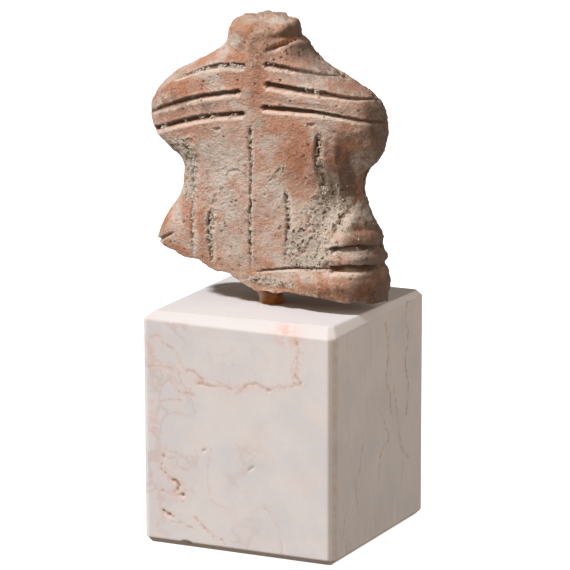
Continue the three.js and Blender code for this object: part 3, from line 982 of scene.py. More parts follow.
# scale, detail and roughness of the noise behind each pattern, and where on it the pattern fades in
terracottaPatterns = {
    "salmon": (110.0, 4.0, 0.55, 0.42, 0.6),
    "brown": (300.0, 7.0, 0.65, 0.48, 0.66),
    "ochre": (260.0, 6.0, 0.65, 0.38, 0.55),
    "film": (150.0, 7.0, 0.62, 0.45, 0.6),
    "filmedAndLit": (240.0, 6.0, 0.62, 0.36, 0.54),
    "flecks": (1800.0, 4.0, 0.7, 0.46, 0.62),
    "dusty": (140.0, 4.0, 0.6, 0.4, 0.62),
    "grain": (1700.0, 4.0, 0.7, 0.32, 0.52),
    "crustPits": (900.0, 4.0, 0.7, 0.39, 0.44),
    "soiledAndShaded": (520.0, 6.0, 0.7, 0.38, 0.6),
    "specks": (2000.0, 4.0, 0.7, 0.34, 0.43),
    "grimeAndFlankShade": (150.0, 5.0, 0.55, 0.3, 0.5),
    "pale": (900.0, 3.0, 0.55, 0.4, 0.62),
    "rusty": (420.0, 3.0, 0.55, 0.6, 0.66),
}


def startMaterial(name):
    material = bpy.data.materials.new(name)
    material.use_nodes = True
    tree = material.node_tree
    return material, tree, tree.nodes["Principled BSDF"]


def meshAttribute(tree, name):
    node = addNode(tree, "ShaderNodeAttribute", attribute_name=name)
    return node.outputs["Fac"]


def addBump(tree, shader, height, strength, distance):
    bump = addNode(tree, "ShaderNodeBump")
    bump.inputs["Strength"].default_value = strength
    bump.inputs["Distance"].default_value = distance
    feed(tree, bump.inputs["Height"], height)
    feed(tree, shader.inputs["Normal"], bump.outputs["Normal"])


def makeTerracotta(colors, patterns):
    tone = {name: fromSrgb(*value) for name, value in colors.items()}
    material, tree, shader = startMaterial("terracotta")
    place = addNode(tree, "ShaderNodeTexCoord").outputs["Object"]
    paintedGrooveShade = meshAttribute(tree, "paintedGrooveShade")
    lodged = meshAttribute(tree, "lodged")
    pits = meshAttribute(tree, "pits")
    crustPatch = meshAttribute(tree, "crustPatch")
    ochre = meshAttribute(tree, "ochre")
    broken = meshAttribute(tree, "broken")
    relief = meshAttribute(tree, "fineRelief")

    def pattern(name, least=0.0, most=1.0):
        return patchAt(tree, place, patterns[name], least, most)

    # the fired clay, warmer at its fresh breaks
    color = blend(tree, pattern("salmon"), tone["orange"], tone["salmon"])
    color = blend(tree, pattern("brown", 0.0, 0.5), color, tone["brown"])
    color = blend(tree, times(tree, ochre, pattern("ochre")), color, tone["ochre"])
    brokenTone = calc(tree, "MINIMUM", plus(tree, broken, meshAttribute(tree, "breakBand")), 1.0)
    color = blend(tree, times(tree, brokenTone, 0.65), color, tone["broken"])
    # a pale film, thicker in low places, that in one patch also paints light on the upper right hip, and a
    # painted highlight on the lips of the lines
    worn = ramp(tree, relief, -0.5, 0.45, 1.0, 0.0)
    film = times(tree, plus(tree, times(tree, worn, 0.3), 0.55), pattern("film"))
    film = times(tree, film, minus(tree, 1.0, times(tree, ochre, 0.6)))
    # pale film patches, one of them painted light on the upper right hip
    filmedAndLit = times(tree, meshAttribute(tree, "filmedAndLit"), pattern("filmedAndLit"))
    film = calc(tree, "MAXIMUM", film, times(tree, filmedAndLit, 0.85))
    color = blend(tree, film, color, tone["film"])
    color = blend(tree, times(tree, meshAttribute(tree, "lipHighlight"), 0.85), color, tone["lipHighlight"])
    # dust, crusts, painted shade in the deep part of the lines, and lodged sediment
    flecks = pattern("flecks")
    color = blend(tree, times(tree, flecks, pattern("dusty", 0.24, 0.58)), color, tone["sediment"])
    color = blend(tree, times(tree, crustPatch, pattern("grain"), clamp=True), color, tone["sediment"])
    color = blend(tree, times(tree, pattern("crustPits", 1.0, 0.0), crustPatch), color, tone["speck"])
    color = blend(tree, times(tree, paintedGrooveShade, 0.8, clamp=True), color, tone["grooveShadeTone"])
    color = blend(tree, times(tree, lodged, 0.9, clamp=True), color, tone["sediment"])
    color = blend(tree, times(tree, pits, 0.75), color, tone["speck"])
    # soil patches, partly painted shade, specks, and a dark brown on surfaces facing right, away from the
    # key, that is partly grime and partly painted shade
    soilAndShade = times(tree, meshAttribute(tree, "soiledAndShaded"), pattern("soiledAndShaded"))
    color = blend(tree, times(tree, soilAndShade, 0.6), color, tone["soilAndShade"])
    color = blend(tree, times(tree, pattern("specks", 1.0, 0.0), 0.45), color, tone["speck"])
    # surfaces facing right, away from the key light, are darkened: partly grime, partly painted shade
    onFlank = ramp(tree, meshAttribute(tree, "facingRight"), 0.35, 0.8)
    grimeAndFlankShade = times(tree, onFlank, pattern("grimeAndFlankShade", 0.6, 1.0))
    color = blend(tree, times(tree, grimeAndFlankShade, 0.74), color, tone["grimeAndFlankShade"])
    feed(tree, shader.inputs["Base Color"], color)
    shader.inputs["Roughness"].default_value = 0.92
    shader.inputs["Specular IOR Level"].default_value = 0.25
    sandy = plus(tree, noiseAt(tree, place, 1900.0, 3.0, 0.7), times(tree, flecks, 0.12))
    addBump(tree, shader, sandy, 1.0, 0.4 * mm)
    return material


terracotta = makeTerracotta(terracottaColors, terracottaPatterns)
incisedPaths = makeIncisedPaths(torsoSetup, lineSetup)
unit = torsoSetup["height"] / 100
isFront = torsoSkinPoints[:, 1] < 0
across, up = torsoSkinPoints[:, 0], torsoSkinPoints[:, 2]
shares = {
    name: np.clip(np.where(isFront, spotsAt(claySetup[name], across, up), share), 0, 1)
    for name, share in claySetup["behind"].items()
}
torso = meshObject(
    "torso_clay",
    torsoSkinPoints * unit + np.array(torsoSetup["place"]),
    torsoSkinFaces,
    {
        "broken": brokenShare,
        "crust": shares["crusts"],
        "ochre": shares["ochres"],
        "filmedAndLit": shares["films"],
        "soiledAndShaded": shares["soils"],
        "breakBand": breakBand,
    },
)
applyTree(torso, makeClayTree(claySetup), {
    "Incised Paths": incisedPaths,
    "Lump Height": claySetup["lumpHeight"],
    "Soft Height": claySetup["softHeight"],
    "Grit Height": claySetup["gritHeight"],
    "Pit Depth": claySetup["pitDepth"],
    "Crust Height": claySetup["crustHeight"],
    "Broken Height": claySetup["brokenHeight"],
    "Material": terracotta,
})
bpy.data.objects.remove(incisedPaths)
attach(torso, "root")
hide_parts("torso")
print("torso made:", len(torso.data.polygons), "faces")

# Crumbs of pale sediment lodged in the lines and on the crusts


crumbSetup = {
    "density": 4.5e6,  # grains on a square metre where there is most of it
    "smallest": 0.10 * mm,
    "largest": 0.26 * mm,
    "seed": 7,
    "turnUpTo": 6.28,
    "turnSeed": 3,
    "sizeSeed": 5,
    "onCrusts": 0.12,  # share of the density that the crusts get
    "unevenScale": 3500.0,
    "uneven": 0.5 * mm,
}


def makeCrumbTree(setup):
    tree, given, result = newTree("lodgedCrumbs", {
        "Clay": "Object",
        "Density": "Float",
        "Smallest": "Float",
        "Largest": "Float",
        "Seed": "Int",
        "Material": "Material",
    })
    scatter = addNode(tree, "GeometryNodeDistributePointsOnFaces", distribute_method="RANDOM")
    feed(tree, scatter.inputs["Mesh"], geometryOf(tree, given.outputs["Clay"]))
    inLines = readAttribute(tree, "lodged")
    onCrusts = times(tree, ramp(tree, readAttribute(tree, "crustPatch"), 0.8, 1.0), setup["onCrusts"])
    amount = times(tree, plus(tree, inLines, onCrusts), given.outputs["Density"])
    feed(tree, scatter.inputs["Density"], amount)
    feed(tree, scatter.inputs["Seed"], given.outputs["Seed"])
    grain = addNode(tree, "GeometryNodeMeshIcoSphere")
    grain.inputs["Radius"].default_value = 1.0
    grain.inputs["Subdivisions"].default_value = 1
    turn = addNode(tree, "FunctionNodeRandomValue", data_type="FLOAT_VECTOR")
    turn.inputs["Max"].default_value = (setup["turnUpTo"],) * 3
    turn.inputs["Seed"].default_value = setup["turnSeed"]
    size = addNode(tree, "FunctionNodeRandomValue", data_type="FLOAT")
    feed(tree, size.inputs[2], given.outputs["Smallest"])
    feed(tree, size.inputs[3], given.outputs["Largest"])
    size.inputs["Seed"].default_value = setup["sizeSeed"]
    place = addNode(tree, "GeometryNodeInstanceOnPoints")
    feed(tree, place.inputs["Points"], scatter.outputs["Points"])
    feed(tree, place.inputs["Instance"], grain.outputs["Mesh"])
    feed(tree, place.inputs["Rotation"], turn.outputs["Value"])
    feed(tree, place.inputs["Scale"], size.outputs[1])
    realize = addNode(tree, "GeometryNodeRealizeInstances")
    feed(tree, realize.inputs["Geometry"], place.outputs["Instances"])
    position = addNode(tree, "GeometryNodeInputPosition").outputs[0]
    uneven = driftAt(tree, position, setup["unevenScale"], 2.0, 0.5, setup["uneven"])
    endTree(tree, pushed(tree, realize.outputs["Geometry"], uneven), given.outputs["Material"], result)
    return tree


def makeSediment(colors, patterns):
    material, tree, shader = startMaterial("paleSediment")
    place = addNode(tree, "ShaderNodeTexCoord").outputs["Object"]
    pale = patchAt(tree, place, patterns["pale"])
    color = blend(tree, pale, fromSrgb(*colors["sediment"]), fromSrgb(*colors["film"]))
    rusty = patchAt(tree, place, patterns["rusty"])
    color = blend(tree, times(tree, rusty, 0.6), color, fromSrgb(*colors["orange"]))
    feed(tree, shader.inputs["Base Color"], color)
    shader.inputs["Roughness"].default_value = 0.95
    shader.inputs["Specular IOR Level"].default_value = 0.2
    addBump(tree, shader, noiseAt(tree, place, 5200.0, 2.0), 0.6, 0.08 * mm)
    return material


crumbs = meshObject("lodged_crumbs", [(0, 0, 0)], [])
applyTree(crumbs, makeCrumbTree(crumbSetup), {
    "Clay": torso,
    "Density": crumbSetup["density"],
    "Smallest": crumbSetup["smallest"],
    "Largest": crumbSetup["largest"],
    "Seed": crumbSetup["seed"],
    "Material": makeSediment(terracottaColors, terracottaPatterns),
})
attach(crumbs, "root")
print("crumbs made:", len(crumbs.data.polygons), "faces")

# Limestone block


plinthSetup = {
    "width": 50 * mm,
    "depth": 52 * mm,
    "height": 56.3 * mm,
    "arrisChamfer": 1.5 * mm,
    "headChamfer": 0.8 * mm,
    "footChamfer": 0.4 * mm,
    "underBevel": 1.4 * mm,
    # the top bevel was ground by hand, so its sizes in mm differ from corner to corner
    "topBevelDrop": {"frontLeft": 2, "frontRight": 2.4, "back": 1.3},
    "topInset": {
        "frontLeft": 1.3,
        "frontRight": 3,
        "rightFront": 2,
        "rightBack": 1,
        "back": 1.8,
        "leftBack": 0.4,
        "leftFront": 2.8,
    },
    "frontColumns": 170,
    "sideColumns": 84,
    "arrisColumns": 5,
    "rows": 150,
    "bevelRows": 8,
    "underBevelRows": 6,
    "topRings": 60,
    "underRings": 8,
    "footRings": 3,
    "footBand": 0.97,  # share of the underside inside the close rings at the foot
    "middle": 0.03,
    "topMiddle": 0.01,
    "softening": 2,  # rounds of smoothing at the edges, and how much each does
    "softness": 0.5,
    "chipPlace": (-13.5 * mm, -26 * mm, 0.0),
    "chipReach": (2.4 * mm, 0.9 * mm, 1.7 * mm),
    "chipInward": (0, 0.75, 0.66),
    "veinStep": 0.2,  # mm between the samples of a vein
    "wanderScale": 380.0,
    "wander": 2.2 * mm,
    "sunkUnit": 0.4 * mm,  # a hollow of this depth counts as one in the colours
    "veinPatches": (520.0, 3.0, 0.55, 0.42, 0.58),
    "stainedBefore": -22 * mm,
    # veins and hollows on the front: x and z in mm, half width in mm, depth in mm, strength
    "frontVeins": (
        (
            ((15.7, 52.4), (16.0, 50.8), (15.6, 48.9), (15.7, 47.0),
             (15.2, 44.8), (15.8, 43.7), (16.7, 42.8)),
            0.5, 0.12, 0.9,
        ),
        (
            ((16.7, 42.8), (12.9, 42.0), (9.8, 41.3), (8.3, 40.6),
             (6.7, 41.1), (3.1, 41.5), (1.0, 39.6), (-3.2, 40.3)),
            0.4, 0.12, 0.8,
        ),
        (((-3.2, 40.3), (-5.9, 39.9), (-7.9, 40.1), (-10.0, 40.1)), 0.4, 0.12, 0.7),
        (
            ((-22.9, 49.9), (-20.4, 50.8), (-18.9, 49.1), (-15.7, 47.2),
             (-13.6, 43.6), (-11.0, 42.9), (-7.9, 40.2)),
            0.35, 0.06, 0.65,
        ),
        (((-23.1, 43.0), (-20.6, 43.7), (-16.7, 42.8), (-12.7, 42.7)), 0.3, 0.02, 0.6),
        (((-17.7, 41.4), (-15.7, 38.4), (-10.8, 37.1)), 0.3, 0.03, 0.6),
        (((-22.9, 34.5), (-19.2, 35.1), (-14.8, 35.8)), 0.35, 0.02, 0.5),
        (((-18.8, 24.1), (-19.4, 21.3), (-19.7, 18.6)), 0.3, 0.25, 0.8),
        (((-19.7, 18.6), (-16.9, 16.2), (-15.2, 15.0), (-16.0, 12.7), (-14.0, 12.7)), 0.5, 0.5, 1.0),
        (((-19.5, 8.4), (-18.2, 7.6), (-17.0, 7.3)), 0.35, 0.5, 1.0),
        (((-17.1, 6.2), (-14.6, 5.6), (-11.6, 5.0)), 0.22, 0.05, 0.8),
        (((-11.1, 7.8), (-8.2, 5.2), (-3.3, 2.4)), 0.2, 0.08, 0.9),
        (((-6.5, 24.6), (-7.5, 20.9), (-7.6, 15.9), (-5.6, 11.6), (-1.3, 10.6)), 0.4, 0.0, 0.25),
        (((3.6, 10.9), (7.5, 12.1), (9.9, 9.9), (11.3, 5.1), (11.6, 1.6)), 0.35, 0.0, 0.4),
        (((3.2, 20.9), (4.1, 21.7)), 0.35, 0.22, 0.1),
        (((-8.9, 24.1), (-8.2, 24.3)), 0.3, 0.3, 0.2),
        (((-0.5, 45.5), (0.2, 45.7)), 0.25, 0.15, 0.3),
        (((-19.8, 13.3), (-19.5, 13.1)), 0.3, 0.3, 0.8),
    ),
    "rightVeins": (
        (
            ((8.7, 57.7), (15.3, 54.7), (14.3, 51.7), (16.0, 47.7),
             (14.5, 40), (16.5, 33), (15, 27)),
            0.3, 0.0, 0.8,
        ),
        (((19.7, 55.6), (15.3, 54.7)), 0.3, 0.0, 0.8),
        (((3, 52), (4.6, 44), (3.4, 38), (5.4, 34.6), (5.7, 33.4), (6.3, 29.7)), 0.35, 0.0, 0.8),
        (((-0.7, 32.6), (2.5, 28), (4.8, 23.6), (1.0, 21.5), (-1, 14)), 0.3, 0.0, 0.6),
        (((8, 36), (10.2, 27.9), (12.5, 20.0), (17.0, 16.1)), 0.3, 0.0, 0.7),
        (((-9.5, 26), (-12.2, 19.1), (-13.3, 17.5), (-12, 9)), 0.4, 0.0, 0.5),
        (((-19, 12), (-20.5, 7), (-18.5, 2)), 0.3, 0.0, 0.6),
    ),
    # warm stains on the front: x and z in mm, reach, strength
    "stains": (
        ((12.8, 53.8), (3.2, 2.0), 1.3),
        ((12.3, 55.6), (1.8, 1.2), 0.5),
        ((-22.6, 46.0), (1.3, 5.0), 0.5),
        ((-22.5, 31.5), (1.2, 4.0), 0.55),
        ((-10.0, 41.0), (4.0, 1.5), 0.4),
        ((-17.0, 15.5), (4.0, 5.0), 0.5),
        ((2.0, 40.5), (6.0, 1.0), 0.4),
    ),
}


def blockRing(setup, insets, chamfer, level, drop):
    right, back = setup["width"] / 2, setup["depth"] / 2
    corners = (
        (right - insets["rightBack"], back - insets["back"] - chamfer, drop["back"]),
        (right - insets["rightBack"] - chamfer, back - insets["back"], drop["back"]),
        (insets["leftBack"] + chamfer - right, back - insets["back"], drop["back"]),
        (insets["leftBack"] - right, back - insets["back"] - chamfer, drop["back"]),
        (insets["leftFront"] - right, insets["frontLeft"] + chamfer - back, drop["frontLeft"]),
        (insets["leftFront"] + chamfer - right, insets["frontLeft"] - back, drop["frontLeft"]),
        (right - insets["rightFront"] - chamfer, insets["frontRight"] - back, drop["frontRight"]),
        (right - insets["rightFront"], insets["frontRight"] + chamfer - back, drop["frontRight"]),
    )
    side, arris, front = setup["sideColumns"], setup["arrisColumns"], setup["frontColumns"]
    counts = (arris, side, arris, side, arris, front, arris, side)
    points = []
    for index, count in enumerate(counts):
        start, end = np.array(corners[index]), np.array(corners[(index + 1) % 8])
        share = np.arange(count)[:, None] / count
        points.append(start + (end - start) * share)
    return np.concatenate(points) * [1, 1, -1] + [0, 0, level]


def evenSize(setup, name, size):
    return {corner: size for corner in setup[name]}


def scaledRing(ring, share):
    return ring * [share, share, 1]


def betweenRings(low, high, count):
    return [low + (high - low) * step / count for step in range(count)]


def carveChip(setup, points):
    # points inside the chip slide inwards, back and up, until they lie on its hollow
    centre, reach = np.array(setup["chipPlace"]), np.array(setup["chipReach"])
    way = np.array(setup["chipInward"])
    inward = way / reach
    local = (points - centre) / reach
    inside = (local ** 2).sum(axis=1) < 1
    a = (inward ** 2).sum()
    b = 2 * local[inside] @ inward
    c = (local[inside] ** 2).sum(axis=1) - 1
    travel = (-b + np.sqrt(b * b - 4 * a * c)) / (2 * a)
    points[inside] += travel[:, None] * way
    return inside.astype(float)


def makeBlock(setup):
    inset = {name: value * mm for name, value in setup["topInset"].items()}
    drop = {name: value * mm for name, value in setup["topBevelDrop"].items()}
    under = evenSize(setup, "topInset", setup["underBevel"])
    flush, level = evenSize(setup, "topInset", 0), evenSize(setup, "topBevelDrop", 0)
    foot = blockRing(setup, under, setup["footChamfer"], 0.0, level)
    lowEdge = blockRing(setup, flush, setup["arrisChamfer"], setup["underBevel"], level)
    highEdge = blockRing(setup, flush, setup["arrisChamfer"], setup["height"], drop)
    head = blockRing(setup, inset, setup["headChamfer"], setup["height"], level)
    footBand = scaledRing(foot, setup["footBand"])
    rings = betweenRings(scaledRing(foot, setup["middle"]), footBand, setup["underRings"])
    rings += betweenRings(footBand, foot, setup["footRings"])
    rings += betweenRings(foot, lowEdge, setup["underBevelRows"])
    rings += betweenRings(lowEdge, highEdge, setup["rows"])
    rings += betweenRings(highEdge, head, setup["bevelRows"])
    rings += betweenRings(head, scaledRing(head, setup["topMiddle"]), setup["topRings"])
    count = len(foot)
    points = np.concatenate([*rings, [(0, 0, 0), (0, 0, setup["height"])]])
    footIndex, headIndex = len(points) - 2, len(points) - 1
    top = (len(rings) - 1) * count
    faces = ringFaces(len(rings), count).tolist()
    faces += [(footIndex, (a + 1) % count, a) for a in range(count)]
    faces += [(headIndex, top + a, top + (a + 1) % count) for a in range(count)]
    chipped = carveChip(setup, points)
    stain = np.zeros(len(points))
    for (x, z), (reachX, reachZ), strength in setup["stains"]:
        offX, offZ = points[:, 0] / mm - x, points[:, 2] / mm - z
        near = np.exp(-((offX / reachX) ** 2) - (offZ / reachZ) ** 2)
        stain += near * strength * (points[:, 1] < setup["stainedBefore"])
    return meshObject("limestone_block", points, faces, {"chipped": chipped, "stain": stain})


def makeVeinPaths(setup):
    spots = {"veinWidth": [], "veinDepth": [], "veinStrength": []}
    points = []

    def onFront(path):
        return np.column_stack([path[:, 0], np.full(len(path), -setup["depth"] / 2), path[:, 1]])

    def onRight(path):
        return np.column_stack([np.full(len(path), setup["width"] / 2), path[:, 0], path[:, 1]])

    for veins, placed in ((setup["frontVeins"], onFront), (setup["rightVeins"], onRight)):
        for through, width, depth, strength in veins:
            length = np.linalg.norm(np.diff(np.array(through), axis=0), axis=1).sum()
            path = easedPath(through, max(int(length / setup["veinStep"]), 4)) * mm
            points.append(placed(path))
            spots["veinWidth"].append(np.full(len(path), width * mm))
            spots["veinDepth"].append(np.full(len(path), depth * mm))
            spots["veinStrength"].append(np.full(len(path), strength))
    joined = {name: np.concatenate(values) for name, values in spots.items()}
    return meshObject("veinPaths", np.concatenate(points), [], joined)


def makeStoneTree(setup):
    inputs = {"Vein Paths": "Object", "Wander": "Float", "Material": "Material"}
    tree, given, result = newTree("stoneSurface", inputs)
    place = addNode(tree, "GeometryNodeInputPosition").outputs[0]
    normal = addNode(tree, "GeometryNodeInputNormal").outputs[0]
    wander = driftAt(tree, place, setup["wanderScale"], 5.0, 0.65, given.outputs["Wander"])
    shifted = vectorCalc(tree, "ADD", place, wander)
    sampled = nearestReader(tree, geometryOf(tree, given.outputs["Vein Paths"]), shifted)
    centre = sampled(place, "FLOAT_VECTOR")
    width = sampled(readAttribute(tree, "veinWidth"))
    depth = sampled(readAttribute(tree, "veinDepth"))
    strength = sampled(readAttribute(tree, "veinStrength"))
    away = vectorCalc(tree, "LENGTH", vectorCalc(tree, "SUBTRACT", shifted, centre), (0, 0, 0), "Value")
    near = calc(tree, "DIVIDE", away, width)
    core = ramp(tree, near, 0.3, 1.3, 1.0, 0.0)
    halo = ramp(tree, near, 0.5, 6.0, 1.0, 0.0)
    patchy = patchAt(tree, place, setup["veinPatches"])
    vein = times(tree, times(tree, core, strength), plus(tree, 0.3, times(tree, patchy, 0.7)))
    sunk = times(tree, times(tree, core, patchy), depth)
    facing = addNode(tree, "ShaderNodeSeparateXYZ")
    feed(tree, facing.inputs[0], normal)
    geometry = storeAttribute(tree, given.outputs["Geometry"], "vein", vein)
    geometry = storeAttribute(tree, geometry, "facingUp", facing.outputs["Z"])
    geometry = storeAttribute(tree, geometry, "facingFront", times(tree, facing.outputs["Y"], -1.0))
    geometry = storeAttribute(tree, geometry, "veinHalo", times(tree, halo, strength))
    geometry = storeAttribute(tree, geometry, "sunk", calc(tree, "DIVIDE", sunk, setup["sunkUnit"]))
    geometry = pushed(tree, geometry, vectorCalc(tree, "SCALE", normal, times(tree, sunk, -1.0)))
    endTree(tree, geometry, given.outputs["Material"], result)
    return tree


limestoneColors = {
    "pale": (218, 209, 202),
    "cool": (209, 203, 199),
    "warm": (220, 203, 190),
    "polished": (218, 214, 211),
    "vein": (192, 146, 126),
    "shadedVein": (134, 112, 98),
    "stain": (216, 174, 160),
    "streak": (196, 180, 166),
    "pit": (150, 118, 98),
    "chip": (186, 166, 140),
    "chipShade": (128, 110, 88),
    # painted light on the side and back bevels
    "ground": (234, 229, 226),
    "dulled": (204, 196, 190),
    # warm brown of the rubbed right arris, also used as painted shade on the under bevel
    "rubbed": (180, 150, 128),
}
# as for the clay: scale, detail and roughness of the noise, and where on it the pattern fades in
limestonePatterns = {
    "clouds": (75.0, 4.0, 0.6, 0.38, 0.62),
    "seamed": (70.0, 4.0, 0.6, 0.47, 0.6),
    "freckles": (1300.0, 4.0, 0.65, 0.53, 0.62),
    "rubbed": (240.0, 6.0, 0.7, 0.36, 0.62),
    "stained": (420.0, 5.0, 0.65, 0.4, 0.6),
    "grain": (2400.0, 2.0, 0.55, 0.35, 0.65),
}


def makeLimestone(colors, patterns):
    tone = {name: fromSrgb(*value) for name, value in colors.items()}
    material, tree, shader = startMaterial("limestone")
    place = addNode(tree, "ShaderNodeTexCoord").outputs["Object"]
    vein = meshAttribute(tree, "vein")
    halo = meshAttribute(tree, "veinHalo")
    sunk = meshAttribute(tree, "sunk")
    stain = meshAttribute(tree, "stain")
    chipped = meshAttribute(tree, "chipped")
    facingUp, facingFront = meshAttribute(tree, "facingUp"), meshAttribute(tree, "facingFront")
    sidewise = addNode(tree, "ShaderNodeSeparateXYZ")
    feed(tree, sidewise.inputs[0], place)
    sideX, sideY = sidewise.outputs["X"], sidewise.outputs["Y"]

    def pattern(name, least=0.0, most=1.0):
        return patchAt(tree, place, patterns[name], least, most)

    # the bedding lies parallel to the front, so it shows as upright streaks on the sides
    bedded = addNode(tree, "ShaderNodeMapping")
    feed(tree, bedded.inputs["Vector"], place)
    bedded.inputs["Scale"].default_value = (1.0, 5.0, 0.9)
    bedded.inputs["Rotation"].default_value = (0.05, 0, 0)
    streaks = ramp(tree, noiseAt(tree, bedded.outputs[0], 95.0, 4.0, 0.6, 0.8), 0.48, 0.72)
    warmth = ramp(tree, noiseAt(tree, place, 120.0, 5.0, 0.62, 0.6), 0.48, 0.7)
    color = blend(tree, pattern("clouds"), tone["pale"], tone["cool"])
    color = blend(tree, times(tree, warmth, 0.5), color, tone["warm"])
    onSides = ramp(tree, facingFront, 0.2, 0.6, 0.34, 0.0)
    color = blend(tree, times(tree, streaks, onSides), color, tone["streak"])
    # fine pink seams, only towards the left
    network = addNode(tree, "ShaderNodeTexNoise")
    feed(tree, network.inputs["Vector"], place)
    feed(tree, network.inputs["Scale"], 260.0)
    feed(tree, network.inputs["Detail"], 4.0)
    bent = vectorCalc(tree, "ADD", place, vectorCalc(tree, "SCALE", network.outputs["Color"], 0.006))
    seams = ramp(tree, cellsAt(tree, bent, 130.0, "Distance", "DISTANCE_TO_EDGE"), 0.0, 0.09, 1.0, 0.0)
    seamsHere = times(tree, pattern("seamed", 0.0, 0.3), ramp(tree, sideX, -6 * mm, 16 * mm, 1.0, 0.0))
    color = blend(tree, times(tree, seams, seamsHere), color, tone["vein"])
    color = blend(tree, times(tree, halo, 0.5, clamp=True), color, tone["warm"])
    freckles = times(tree, pattern("freckles"), ramp(tree, halo, 0.3, 0.8))
    color = blend(tree, times(tree, freckles, 0.4), color, tone["vein"])
    color = blend(tree, ramp(tree, facingUp, 0.85, 0.97, 0.0, 0.75), color, tone["polished"])
    # the bevels at the sides and the back are painted paler than the rest, as painted light, and are the
    # palest
    tilted = ramp(tree, facingUp, 0.3, 0.45)
    sideBevel = times(tree, tilted, ramp(tree, facingFront, 0.1, 0.3, 1.0, 0.0))
    sideBevel = times(tree, sideBevel, ramp(tree, facingUp, 0.8, 0.9, 1.0, 0.0))
    frontBevel = times(tree, tilted, ramp(tree, facingFront, 0.3, 0.5))
    color = blend(tree, times(tree, frontBevel, 0.8), color, tone["dulled"])
    color = blend(tree, sideBevel, color, tone["ground"])
    # soil has rubbed into the right arris; the under bevel, which faces down, gets the same warm brown as
    # painted shade
    nearArris = times(tree, ramp(tree, sideY, -22.5 * mm, -24.8 * mm), ramp(tree, sideX, 24 * mm, 24.6 * mm))
    rubbed = times(tree, nearArris, pattern("rubbed", 0.1, 0.45))
    underShade = ramp(tree, facingUp, -0.2, -0.5, 0.0, 0.8)
    color = blend(tree, calc(tree, "MAXIMUM", rubbed, underShade), color, tone["rubbed"])
    stainHere = times(tree, stain, pattern("stained"))
    color = blend(tree, times(tree, stainHere, 0.85, clamp=True), color, tone["stain"])
    veinTone = blend(tree, ramp(tree, facingFront, 0.2, 0.6), tone["shadedVein"], tone["vein"])
    color = blend(tree, times(tree, vein, 0.85, clamp=True), color, veinTone)
    color = blend(tree, times(tree, sunk, 0.5, clamp=True), color, tone["pit"])
    chipTone = blend(tree, ramp(tree, sideX, -13.5 * mm, -11.8 * mm), tone["chip"], tone["chipShade"])
    color = blend(tree, chipped, color, chipTone)
    color = blend(tree, pattern("grain", 0.0, 0.12), color, tone["streak"])
    feed(tree, shader.inputs["Base Color"], color)
    shader.inputs["Roughness"].default_value = 0.62
    shader.inputs["Specular IOR Level"].default_value = 0.35
    addBump(tree, shader, noiseAt(tree, place, 1800.0, 4.0, 0.6), 0.25, 0.06 * mm)
    return material


block = makeBlock(plinthSetup)
softener = block.modifiers.new("softer edges", "SMOOTH")
softener.factor = plinthSetup["softness"]
softener.iterations = plinthSetup["softening"]
veinPaths = makeVeinPaths(plinthSetup)
applyTree(block, makeStoneTree(plinthSetup), {
    "Vein Paths": veinPaths,
    "Wander": plinthSetup["wander"],
    "Material": makeLimestone(limestoneColors, limestonePatterns),
})
block.modifiers.clear()
bpy.data.objects.remove(veinPaths)
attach(block, "root")
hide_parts("plinth")
print("block made:", len(block.data.polygons), "faces")

# Bead of old adhesive, squeezed between the block and the clay


beadSetup = {
    "place": (-0.9 * mm, -3.5 * mm, 56.3 * mm),
    "radius": 3.2 * mm,
    "height": 5.3 * mm,
    "sides": 96,
    "rows": 48,
    # share of the height, share of the radius
    "profile": ((0, 1.08), (0.08, 0.94), (0.3, 0.86), (0.6, 0.9), (0.85, 1.02), (1.0, 1.12)),
    # direction in degrees, spread, where on the height, spread of height, size
    "lobes": (
        (206, 30, 0.85, 0.42, 0.66),
        (206, 44, 0.3, 0.35, 0.3),
        (26, 56, 0.45, 0.9, -0.34),
        (262, 14, 0.2, 0.25, 0.08),
        (300, 20, 0.1, 0.2, 0.1),
    ),
    "driedAt": 224,  # the direction of the pale dried skin, in degrees
    "driedSpread": 15,
    "settleRounds": 6,
    "clear": (160, 98, 38),
    "cloudy": (100, 58, 26),
    "dried": (196, 172, 144),
}


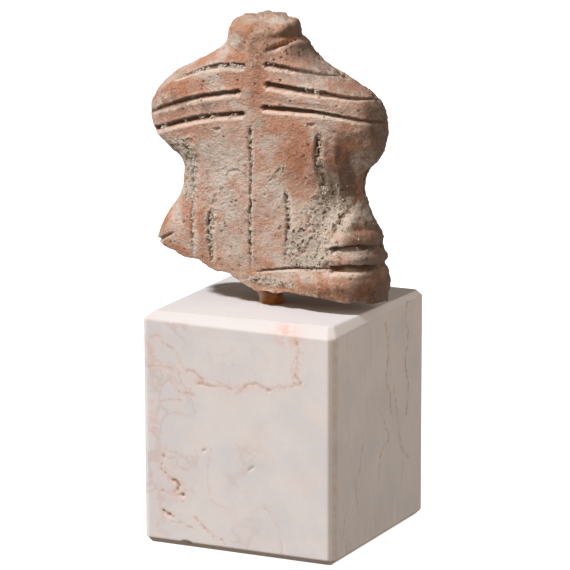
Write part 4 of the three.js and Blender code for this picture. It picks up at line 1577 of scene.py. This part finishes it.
def makeBead(setup):
    share = np.linspace(0, 1, setup["rows"])
    knots = np.array(setup["profile"])
    radius = np.interp(share, knots[:, 0], knots[:, 1])
    for _ in range(setup["settleRounds"]):
        radius[1:-1] = (radius[:-2] + radius[1:-1] * 2 + radius[2:]) / 4
    angle = np.arange(setup["sides"]) / setup["sides"] * 360
    swell = np.ones((len(share), len(angle)))
    for direction, spread, at, reach, size in setup["lobes"]:
        turn = (angle - direction + 180) % 360 - 180
        around = np.exp(-((turn / spread) ** 2))
        upward = np.exp(-(((share - at) / reach) ** 2))
        swell += size * around[None, :] * upward[:, None]
    wide = radius[:, None] * swell * setup["radius"]
    x = wide * np.cos(np.radians(angle))
    y = wide * np.sin(np.radians(angle))
    z = np.repeat((share * setup["height"])[:, None], len(angle), axis=1)
    points = np.stack([x, y, z], axis=-1).reshape(-1, 3) + setup["place"]
    count = len(angle)
    ends = np.array([[0, 0, 0], [0, 0, setup["height"]]]) + setup["place"]
    points = np.concatenate([points, ends])
    top = (len(share) - 1) * count
    faces = ringFaces(len(share), count).tolist()
    faces += [(len(points) - 2, (a + 1) % count, a) for a in range(count)]
    faces += [(len(points) - 1, top + a, top + (a + 1) % count) for a in range(count)]
    away = (angle - setup["driedAt"] + 180) % 360 - 180
    dried = np.tile(np.exp(-((away / setup["driedSpread"]) ** 2)), len(share))
    return meshObject("adhesive_bead", points, faces, {"dried": np.append(dried, [0, 0])})


def makeAmber(setup):
    material, tree, shader = startMaterial("amberAdhesive")
    place = addNode(tree, "ShaderNodeTexCoord").outputs["Object"]
    cloud = ramp(tree, noiseAt(tree, place, 480.0, 3.0), 0.4, 0.62)
    color = blend(tree, cloud, fromSrgb(*setup["clear"]), fromSrgb(*setup["cloudy"]))
    dried = times(tree, meshAttribute(tree, "dried"), 0.8)
    color = blend(tree, dried, color, fromSrgb(*setup["dried"]))
    feed(tree, shader.inputs["Base Color"], color)
    shader.inputs["Roughness"].default_value = 0.35
    shader.inputs["IOR"].default_value = 1.45
    shader.inputs["Specular IOR Level"].default_value = 0.3
    shader.inputs["Transmission Weight"].default_value = 0.1
    addBump(tree, shader, noiseAt(tree, place, 700.0, 3.0), 0.3, 0.2 * mm)
    return material


bead = makeBead(beadSetup)
bead.data.materials.append(makeAmber(beadSetup))
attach(bead, "root")
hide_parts("glue_bead")
print("bead made:", len(bead.data.polygons), "faces")
